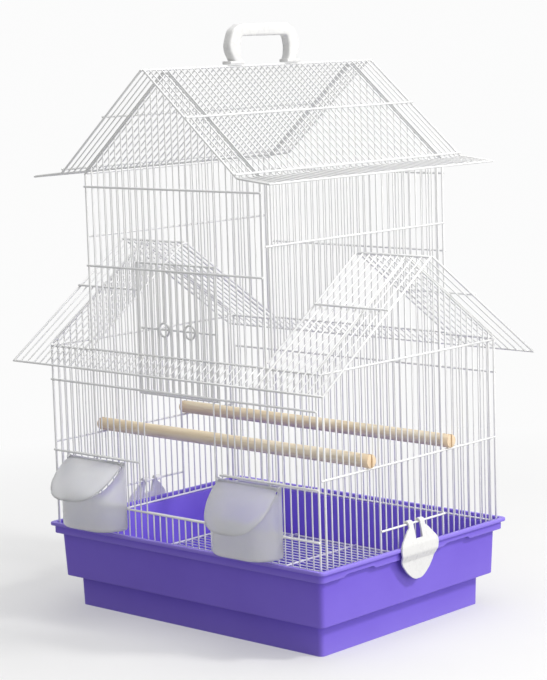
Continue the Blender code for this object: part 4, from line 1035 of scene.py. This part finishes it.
def cup_loop(inset, wall):
    """Plan of the cup, clockwise from its right back corner: side, round corner, front, and so on to the
    straight back."""
    half = CUP_LENGTH / 2 - inset - wall
    radius = CUP_CORNER - inset - wall
    back = CUP_BACK_Y - wall
    front = CUP_BACK_Y - CUP_DEPTH + inset + wall
    bend = np.linspace(0, -math.pi / 2, 19)
    right = np.stack([half - radius + radius * np.cos(bend), front + radius + radius * np.sin(bend)], axis=1)
    side = np.stack([np.full(4, half), np.linspace(back, front + radius, 5)[:-1]], axis=1)
    flat = np.stack([np.linspace(half - radius, 0, 10)[1:], np.full(9, front)], axis=1)
    near = np.concatenate([side, right, flat])
    far = near[::-1][1:] * np.array([-1, 1])
    across = half - CUP_WALL * 0.02
    sill = across - CUP_REAR_EDGE
    rear_x = np.concatenate([[-across], np.linspace(-sill, sill, 22), [across]])
    rear = np.stack([rear_x, np.full(24, back)], axis=1)
    return np.concatenate([near, far, rear])


def feeder_cup(node, centre_x):
    """A tub with a straight back. Each wall rises to the slope that the hood lies on, the back only to a low
    sill, and one closed skin runs from under the floor up the outside, over a round edge and down inside."""
    bottom = SILL_Z - CUP_DROP
    peak = HINGE_Z + BARREL_RADIUS
    outline = cup_loop(0, 0)
    slope_top = HINGE_Z + (outline[:, 1] - HINGE_Y) * math.tan(HOOD_SLOPE) - FIT / math.cos(HOOD_SLOPE)
    top = np.minimum(slope_top, peak)
    top[-23:-1] = SILL_Z + CUP_BACK_RISE
    turn = CUP_BOTTOM_ROUND
    inner_turn = turn - CUP_WALL
    rings = []
    for share in np.linspace(0, math.pi / 2, 6):
        rings.append((turn * (1 - math.sin(share)), 0.0, bottom + turn * (1 - math.cos(share)), 0.0))
    for share in (0.25, 0.5, 0.75):
        rings.append((0.0, 0.0, bottom + turn, share))
    edge = CUP_WALL / 2
    for share in np.linspace(0, math.pi, 7):
        rings.append((0.0, edge * (1 - math.cos(share)), -edge * 0.6 * (1 - math.sin(share)), 1.0))
    for share in (0.75, 0.5, 0.25):
        rings.append((0.0, CUP_WALL, bottom + turn, share))
    for share in np.linspace(math.pi / 2, 0, 5):
        rise = bottom + CUP_WALL + inner_turn * (1 - math.cos(share))
        rings.append((inner_turn * (1 - math.sin(share)), CUP_WALL, rise, 0.0))
    grid = []
    for inset, wall, z, share in rings:
        plan = cup_loop(inset, wall)
        height = top + z if share == 1.0 else (1 - share) * z + share * top
        grid.append(at(plan[:, 0] + centre_x, plan[:, 1], height))
    shapes = [skin(np.array(grid)[:, ::-1])]
    for side in (-1, 1):
        ear_x = centre_x + side * (CUP_LENGTH / 2 - CUP_WALL / 2)
        shapes.append(washer((ear_x, HINGE_Y, HINGE_Z), PIN_RADIUS + FIT, EAR_RADIUS, CUP_WALL - EAR_SHY))
        shapes.append(cup_tab(centre_x + side * TAB_SPACING / 2))
    return make_piece(f"{node}_tub", [(joined(shapes), 0)], node, [cup_finish], 40)


def washer(centre, inner, outer, thickness, steps=32):
    """A ring about X: a closed section (radius, x) carried round the axis."""
    half = thickness / 2
    section = np.array([
        (inner, -half),
        (outer - EAR_EDGE, -half),
        (outer, -half + EAR_EDGE),
        (outer, half - EAR_EDGE),
        (outer - EAR_EDGE, half),
        (inner, half),
    ])
    angle = np.arange(steps)[:, None] * TAU / steps
    points = at(section[:, 1], section[:, 0] * np.cos(angle), section[:, 0] * np.sin(angle)) + centre
    return points.reshape(-1, 3), grid_quads(steps, len(section), True, True)[:, ::-1], NO_TRIS


def cup_tab(x):
    """A hook over the sill rail and down behind it: a flat rounded section carried along a bent line."""
    under = SILL_Z + RAIL / 2 + FIT
    middle = under + TAB_THICKNESS / 2
    inner = -(HALF_DEPTH - STILE / 2 - FIT)
    leg = inner + TAB_THICKNESS / 2
    foot = under + TAB_THICKNESS - TAB_LEG
    corners = [(x, CUP_BACK_Y - CUP_WALL / 2, middle), (x, leg, middle), (x, leg, foot)]
    section = squircle(TAB_WIDTH / 2, TAB_THICKNESS / 2, 6, 20)
    return sweep(rounded(corners, (TAB_BEND,), 4), section, ALONG_X)


def hood_surface(share, turn):
    """The scoop in its own plane: a fan from the hinge's middle to a D-shaped rim, with a dome
    D (1 - share^3)^0.6 that swells in over the first half of its length."""
    narrow = (CUP_LENGTH / 2 - CUP_WALL - 2 * FIT) / (HOOD_WIDTH / 2)
    power = 2 / HOOD_SQUARENESS
    across = signed_power(np.cos(turn), power)
    along = np.maximum(0.0, np.sin(turn)) ** power
    down = share * along * HOOD_LENGTH
    widen = np.clip((down - SHOULDER_START * 0.7) / (SHOULDER_START * 0.3), 0, 1)
    across = across * share * HOOD_WIDTH / 2 * (narrow + (1 - narrow) * widen)
    swell = np.sin(np.minimum(1.0, down / (0.5 * HOOD_LENGTH)) * math.pi / 2)
    rise = HOOD_DOME * np.maximum(0.0, 1 - share**3) ** 0.6 * swell
    return at(across, -down, HOOD_LIFT + rise)


def feeder_hood(node, centre_x, raised):
    """The scoop with a bead along its rim, a finger bump at its front, a barrel and two pins."""
    angle = HOOD_SLOPE - raised
    centre = (centre_x, HINGE_Y, HINGE_Z)
    share = 1 - np.linspace(0, 1, 40)[:, None] ** 1.6 * 0.98
    turn = np.linspace(0, math.pi, 97)
    outer = hood_surface(share[::-1], turn)
    facing = np.cross(np.gradient(outer, axis=1), np.gradient(outer, axis=0))
    facing = unit(facing + 1e-12 * np.array([0, 0, 1.0]))
    facing *= np.sign(facing[..., 2:] + 1e-9)
    inner = outer - HOOD_WALL * facing
    inner[..., 2] = np.maximum(inner[..., 2], FIT / 2)
    inner[-1, :, 2] = HOOD_LIFT * 0.4
    sheet = np.concatenate([outer, inner[::-1]], axis=0)
    size = sheet.shape[1]
    quads = grid_quads(len(sheet), size)
    sides = []
    half = len(outer)
    for column in (0, size - 1):
        row = np.arange(half - 1)
        mirror = len(sheet) - 1 - row
        side_quads = np.stack([row, row + 1, mirror - 1, mirror], axis=1) * size + column
        sides.append(side_quads[:, ::-1] if column else side_quads)
    top_row = np.arange(size - 1)
    last = (len(sheet) - 1) * size
    closing = np.stack([top_row + 1, top_row, last + top_row, last + top_row + 1], axis=1)
    sheet = turned_about_x(sheet.reshape(-1, 3), angle, centre)
    shell = (sheet, np.concatenate([quads, *sides, closing]), NO_TRIS)
    rim = hood_surface(np.array([1 - HOOD_RIM / HOOD_LENGTH]), np.linspace(0.03, math.pi - 0.03, 90))
    rim[:, 2] = HOOD_RIM + FIT / 2
    bead = sweep(rim, squircle(HOOD_RIM, HOOD_RIM, 2, 10), (0.0, 0.0, 1.0))
    bead = (turned_about_x(bead[0], angle, centre), bead[1], bead[2])
    bump_angle = np.arange(24) * TAU / 24
    rise = np.linspace(0, math.pi / 2, 8)[:, None]
    bump = at(
        BUMP_HALF_WIDTH * np.cos(rise) * np.cos(bump_angle),
        -HOOD_LENGTH + BUMP_SETBACK + BUMP_HALF_LENGTH * np.cos(rise) * np.sin(bump_angle),
        HOOD_LIFT * 0.3 + BUMP_RISE * np.sin(rise),
    )
    bump = skin(turned_about_x(bump, angle, centre))
    barrel_half = CUP_LENGTH / 2 - CUP_WALL - FIT
    shapes = [shell, bead, bump]
    for half_rod, radius in ((barrel_half, BARREL_RADIUS), (CUP_LENGTH / 2, PIN_RADIUS)):
        ends = [(centre_x + way * half_rod, HINGE_Y, HINGE_Z) for way in (-1, 1)]
        shapes.append(bars([ends], 2 * radius, 20))
    shape = joined(shapes)
    return make_piece(f"{node}_scoop", [(shape, 0)], node, [cup_finish], 45)


# Clips

def clip_rows():
    """The middle line (x, z) of a right clip: round the bar, past the rim's edge, then in to the tray."""
    bar = np.array([HALF_LENGTH + OUTER_RAIL, CLIP_BAR_Z])
    radius = RAIL_CORNER + FIT + CLIP_THICKNESS / 2
    plumb = HALF_LENGTH + REBATE + RIM_BAND + FIT + CLIP_THICKNESS / 2
    angle = np.radians(np.linspace(CLIP_CURL_TURN, 0, 22))
    curl = bar + radius * np.stack([np.cos(angle), np.sin(angle)], axis=1)
    corners = [
        tuple(curl[-1]),
        (plumb, RIM_TOP_Z + CLIP_THICKNESS / 2),
        (plumb, RIM_UNDER_Z - CLIP_TUCK_FALL),
        (plumb - CLIP_TUCK, RIM_UNDER_Z - CLIP_TUCK_FALL - CLIP_TUCK_LENGTH),
        (plumb - CLIP_TUCK, RIM_UNDER_Z - CLIP_FALL),
    ]
    bent = rounded(corners, CLIP_BENDS, 5)
    reach = np.concatenate([[0], np.cumsum(np.linalg.norm(np.diff(bent, axis=0), axis=1))])
    walked = np.linspace(0, reach[-1], 70)[1:]
    down = np.stack([np.interp(walked, reach, bent[:, i]) for i in range(2)], axis=1)
    return curl, down


def clip_edge(z):
    """Half width of the clip at a height: blunt tip, shield, shoulder and ear, straight between key heights.
    The tables' rows are (height over the tip, the rim's underside or its top, share of the half width)."""
    ear_out = 1.5 * PITCH - WIRE / 2 - FIT
    heights, widths = [], []
    for base, table in (
        (RIM_UNDER_Z - CLIP_FALL, CLIP_EDGE_LOW),
        (RIM_UNDER_Z, CLIP_EDGE_MIDDLE),
        (RIM_TOP_Z, CLIP_EDGE_HIGH),
    ):
        heights += [base + rise for rise, share in table]
        widths += [share * CLIP_HALF_WIDTH for rise, share in table]
    return np.interp(z, [*heights, CLIP_BAR_Z - CLIP_EAR_DROP, CLIP_BAR_Z], [*widths, ear_out, ear_out])


def clip(node, side):
    """A bent sheet: rows follow the clip's line, columns run between its edges, and the slot is left out."""
    curl, down = clip_rows()
    line = np.concatenate([curl, down])
    edge = np.concatenate([clip_edge(np.full(len(curl), CLIP_BAR_Z)), clip_edge(down[:, 1])])
    slot_end = CLIP_BAR_Z - CLIP_SLOT_DEPTH
    ear_in = PITCH / 2 + WIRE / 2 + FIT
    wing = np.linspace(0, 1, 13)
    slot = np.linspace(-1, 1, 9)[1:-1]
    inner = np.minimum(ear_in, edge * 0.8)[:, None]
    outer = edge[:, None]
    near_wing, far_wing = -(outer + (inner - outer) * wing), inner + (outer - inner) * wing
    points = at(side * line[:, :1], np.concatenate([near_wing, inner * slot, far_wing], axis=1), line[:, 1:])
    rows, stations = points.shape[:2]
    row, column = np.mgrid[0:rows - 1, 0:stations - 1]
    in_slot = (column >= len(wing) - 1) & (column < len(wing) + len(slot))
    above = (line[row + 1, 1] > slot_end - 0.0001) | (row < len(curl))
    quads = grid_quads(rows, stations)[~(in_slot & above).ravel()]
    if side > 0:
        quads = quads[:, ::-1]
    used, numbers = np.unique(quads, return_inverse=True)
    shape = (points.reshape(-1, 3)[used], numbers.reshape(-1, 4), NO_TRIS)
    made = make_piece(f"{node}_spring", [(shape, 0)], node, [clip_finish], 35)
    wall = made.modifiers.new("wall", "SOLIDIFY")
    wall.thickness = CLIP_THICKNESS
    wall.offset = 0
    rim = made.modifiers.new("rim", "BEVEL")
    rim.width = CLIP_EDGE_ROUND
    rim.segments = 2
    rim.limit_method = "ANGLE"
    rim.angle_limit = math.radians(55)
    plumb = HALF_LENGTH + REBATE + RIM_BAND + FIT
    near, far = plumb - CATCH_REACH - FIT, plumb + CLIP_THICKNESS / 2
    z = RIM_UNDER_Z - 3 * FIT - CATCH_HEIGHT / 2
    path = at(side * (near + far) / 2, np.linspace(-CATCH_WIDTH / 2, CATCH_WIDTH / 2, 9), z)
    catch = sweep(path, squircle((far - near) / 2, CATCH_HEIGHT / 2, 5, 16), ALONG_X)
    return made, make_piece(f"{node}_catch", [(catch, 0)], node, [clip_finish], 35)


# Handle

def handle():
    """An arch: a rounded section fills the band between an inner and an outer curve, on two flat feet."""
    foot = float(upper_roof_z(RIDGE_RAIL)) + RAIL_CORNER + FIT
    top = foot + HANDLE_HEIGHT
    under = top - HANDLE_GRIP
    share, drop = HANDLE_SHOULDER
    knot_share, knot_drop = HANDLE_SHOULDER_KNOT
    inner = rounded(
        [(HANDLE_FOOT_IN + out, foot + rise) for out, rise in HANDLE_INSIDE]
        + [(HANDLE_FOOT_IN + HANDLE_INSIDE_TOP, under), (0, under)],
        HANDLE_INSIDE_BENDS, 8,
    )
    outer = rounded([
        (0.86 * HANDLE_FOOT_OUT, foot + HANDLE_WAIST),
        (HANDLE_WIDEST, foot + HANDLE_KNEE_RISE),
        (share * HANDLE_WIDEST, top - drop),
        (HANDLE_TOP_SHARE * HANDLE_WIDEST, top),
        (0, top),
    ], HANDLE_OUTSIDE_BENDS, 8)
    inner = resampled(inner, 45, (HANDLE_FOOT_IN + HANDLE_INSIDE_TOP, under), 0.55)
    outer = resampled(outer, 45, (knot_share * HANDLE_WIDEST, top - knot_drop), 0.55)
    mirror = np.array([-1, 1])
    inner = np.concatenate([inner, inner[-2::-1] * mirror])
    outer = np.concatenate([outer, outer[-2::-1] * mirror])
    angle = np.arange(32) * TAU / 32
    power = 2 / 4.5
    across = signed_power(np.cos(angle), power) * HANDLE_THICKNESS / 2
    out = signed_power(np.sin(angle), power)
    middle, half = (inner + outer) / 2, (outer - inner) / 2
    band = middle[:, None] + half[:, None] * out[:, None]
    shapes = [skin(at(across, band[..., 0], band[..., 1]))]
    bevel = HANDLE_FOOT_BEVEL
    ends = np.array([HANDLE_FOOT_IN, HANDLE_FOOT_IN + bevel, HANDLE_FOOT_OUT - bevel, HANDLE_FOOT_OUT])
    scale = np.array([0.9, 1.0, 1.0, 0.9])[:, None, None]
    section = squircle(HANDLE_THICKNESS / 2, HANDLE_FOOT_HALF_RISE, 7, 24) * scale
    for side in (-1, 1):
        shapes.append(sweep(at(0.0, side * ends, foot + HANDLE_FOOT_HALF_RISE), section, ALONG_X))
    return make_piece("handle_arch", [(joined(shapes), 0)], "handle", [handle_finish], 45)


# Camera, light and floor

def set_up(name, data, axes, place):
    """An object at a place, with its own X, Y and Z along the three axes."""
    pose = np.eye(4)
    pose[:3, :3] = np.transpose(axes)
    pose[:3, 3] = place
    made = bpy.data.objects.new(name, data)
    made.matrix_world = Matrix(pose.tolist())
    bpy.context.scene.collection.objects.link(made)
    return made


def camera():
    """A long lens from the front right, a little above the tray's rim and turned by its roll."""
    azimuth, elevation, roll = (math.radians(angle) for angle in CAMERA_TURNS)
    level = math.cos(elevation)
    back = np.array([math.sin(azimuth) * level, -math.cos(azimuth) * level, math.sin(elevation)])
    right = unit(np.cross(-back, (0.0, 0.0, 1.0)))
    down = np.cross(-back, right)
    turn = np.array([[math.cos(roll), math.sin(roll), 0], [-math.sin(roll), math.cos(roll), 0], [0, 0, 1]])
    rows = turn @ np.stack([right, down, -back])
    centre = -rows.T @ np.array(CAMERA_PLACE) * 2 * HALF_LENGTH
    data = bpy.data.cameras.new("camera")
    data.sensor_width = SENSOR
    data.lens = FOCAL_PIXELS / PHOTO_HEIGHT * SENSOR
    data.clip_start = 0.05
    data.clip_end = 50
    bpy.context.scene.camera = set_up("camera", data, (rows[0], -rows[1], -rows[2]), centre)


def lamp(name, place, aim, size, watts, colour=(1.0, 1.0, 1.0)):
    """A square soft lamp at a place, turned to its aim."""
    data = bpy.data.lights.new(name, "AREA")
    data.shape = "SQUARE"
    data.size = size
    data.energy = watts
    data.color = colour
    back = unit(np.array(place) - np.array(aim))
    side = unit(np.cross((0.0, 0.0, 1.0), back))
    set_up(name, data, (side, np.cross(back, side), back), place)


def seen_directly(tree):
    """1 for rays from the camera, from gloss and through clear plastic, 0 for light that falls on things."""
    path = tree.nodes.new("ShaderNodeLightPath")
    total = path.outputs["Is Camera Ray"]
    for word in ("Is Glossy Ray", "Is Transmission Ray"):
        more = tree.nodes.new("ShaderNodeMath")
        more.operation = "MAXIMUM"
        tree.links.new(total, more.inputs[0])
        tree.links.new(path.outputs[word], more.inputs[1])
        total = more.outputs[0]
    return total


def surroundings():
    """A white world where it is seen, and a weaker even light where it falls on things."""
    world = bpy.data.worlds.new("studio")
    world.use_nodes = True
    bpy.context.scene.world = world
    tree = world.node_tree
    background = tree.nodes["Background"]
    background.inputs["Color"].default_value = (1.0, 1.0, 1.0, 1.0)
    strength = tree.nodes.new("ShaderNodeMapRange")
    strength.inputs["To Min"].default_value = WORLD_LIGHT
    strength.inputs["To Max"].default_value = BACKDROP
    tree.links.new(seen_directly(tree), strength.inputs["Value"])
    tree.links.new(strength.outputs["Result"], background.inputs["Strength"])


def floor():
    """A round pale floor that holds the cage's shadow and turns to the backdrop's plain tone further out."""
    angle = np.arange(96) * TAU / 96
    radius = np.array([0.001, 0.3, 0.8, 1.6, 3.0, 8.0])[:, None]
    grid = at(radius * np.cos(angle), radius * np.sin(angle), FLOOR_Z)
    quads = grid_quads(len(radius), 96, True)[:, ::-1]
    centre = len(radius) * 96
    here = np.arange(96)
    tris = np.stack([np.full(96, centre), here, (here + 1) % 96], axis=1)
    points = np.concatenate([grid.reshape(-1, 3), [[0.0, 0.0, FLOOR_Z]]])
    data = bpy.data.meshes.new("floor")
    data.from_pydata(points.tolist(), [], quads.tolist() + tris.tolist())
    made = bpy.data.objects.new("floor", data)
    bpy.context.scene.collection.objects.link(made)
    material, tree, shader = start_material("pale_floor", (0.88, 0.88, 0.88), 0.85)
    stops = ((0.3, (0.83, 0.83, 0.83)), (0.7, (0.86, 0.86, 0.86)))
    seen = blended(tree, seen_directly(tree), GREY_FLOOR, tint(tree, speckle(tree, 3, 2), stops))
    tree.links.new(seen, shader.inputs["Base Color"])
    shader.inputs["Specular IOR Level"].default_value = 0.1
    place = tree.nodes.new("ShaderNodeTexCoord")
    length = tree.nodes.new("ShaderNodeVectorMath")
    length.operation = "LENGTH"
    tree.links.new(place.outputs["Object"], length.inputs[0])
    far = ranged(tree, length.outputs["Value"], 0.35, 1.0, 0.35, 1.2)
    share = tree.nodes.new("ShaderNodeMath")
    share.operation = "MULTIPLY"
    tree.links.new(far, share.inputs[0])
    tree.links.new(seen_directly(tree), share.inputs[1])
    glow = tree.nodes.new("ShaderNodeEmission")
    glow.inputs["Color"].default_value = (BACKDROP, BACKDROP, BACKDROP, 1.0)
    mixed = tree.nodes.new("ShaderNodeMixShader")
    tree.links.new(share.outputs[0], mixed.inputs[0])
    tree.links.new(shader.outputs[0], mixed.inputs[1])
    tree.links.new(glow.outputs[0], mixed.inputs[2])
    tree.links.new(mixed.outputs[0], tree.nodes["Material Output"].inputs["Surface"])
    data.materials.append(material)


camera()
surroundings()
lamp("sun_side", (2.63, 1.06, 2.47), (0.0, 0.0, 0.25), 0.5, 62, (1.0, 0.985, 0.96))
lamp("right_side", (3.24, -0.23, 0.92), (0.0, 0.0, 0.35), 2.2, 34)
lamp("top", (0.3, 0.3, 3.2), (0.0, 0.0, 0.3), 2.2, 30)
floor()

wire_finish = coated_wire()
weld_finish = coated_weld()
tray_finish = purple_plastic()
wood_finish = turned_wood()
cup_finish = frosted_plastic()
clip_finish = white_plastic()
handle_finish = white_plastic()

end_walls()
for side_sign, side_word in ((-1, "left"), (1, "right")):
    side_wall(f"{side_word}_wall", side_sign)
    tower_side(f"tower_{side_word}_wall", side_sign)
    upper_roof(f"upper_roof_{side_word}", side_sign)
    for end_sign, end_word in ((-1, "front"), (1, "back")):
        wing_roof(f"wing_roof_{side_word}_{end_word}", side_sign, end_sign)
    clip(f"clip_{side_word}", side_sign)
skirt("skirt_front", -1)
skirt("skirt_back", 1)
front_door()
floor_grate()
tray()
perch("perch_front", FRONT_PERCH_Y)
perch("perch_back", BACK_PERCH_Y)
feeders = (("left", LEFT_FEEDER_X, LEFT_HOOD_RAISED), ("right", RIGHT_FEEDER_X, 0.0))
for side_word, feeder_x, raised_angle in feeders:
    feeder_cup(f"feeder_cup_{side_word}", feeder_x)
    feeder_hood(f"feeder_hood_{side_word}", feeder_x, raised_angle)
handle()
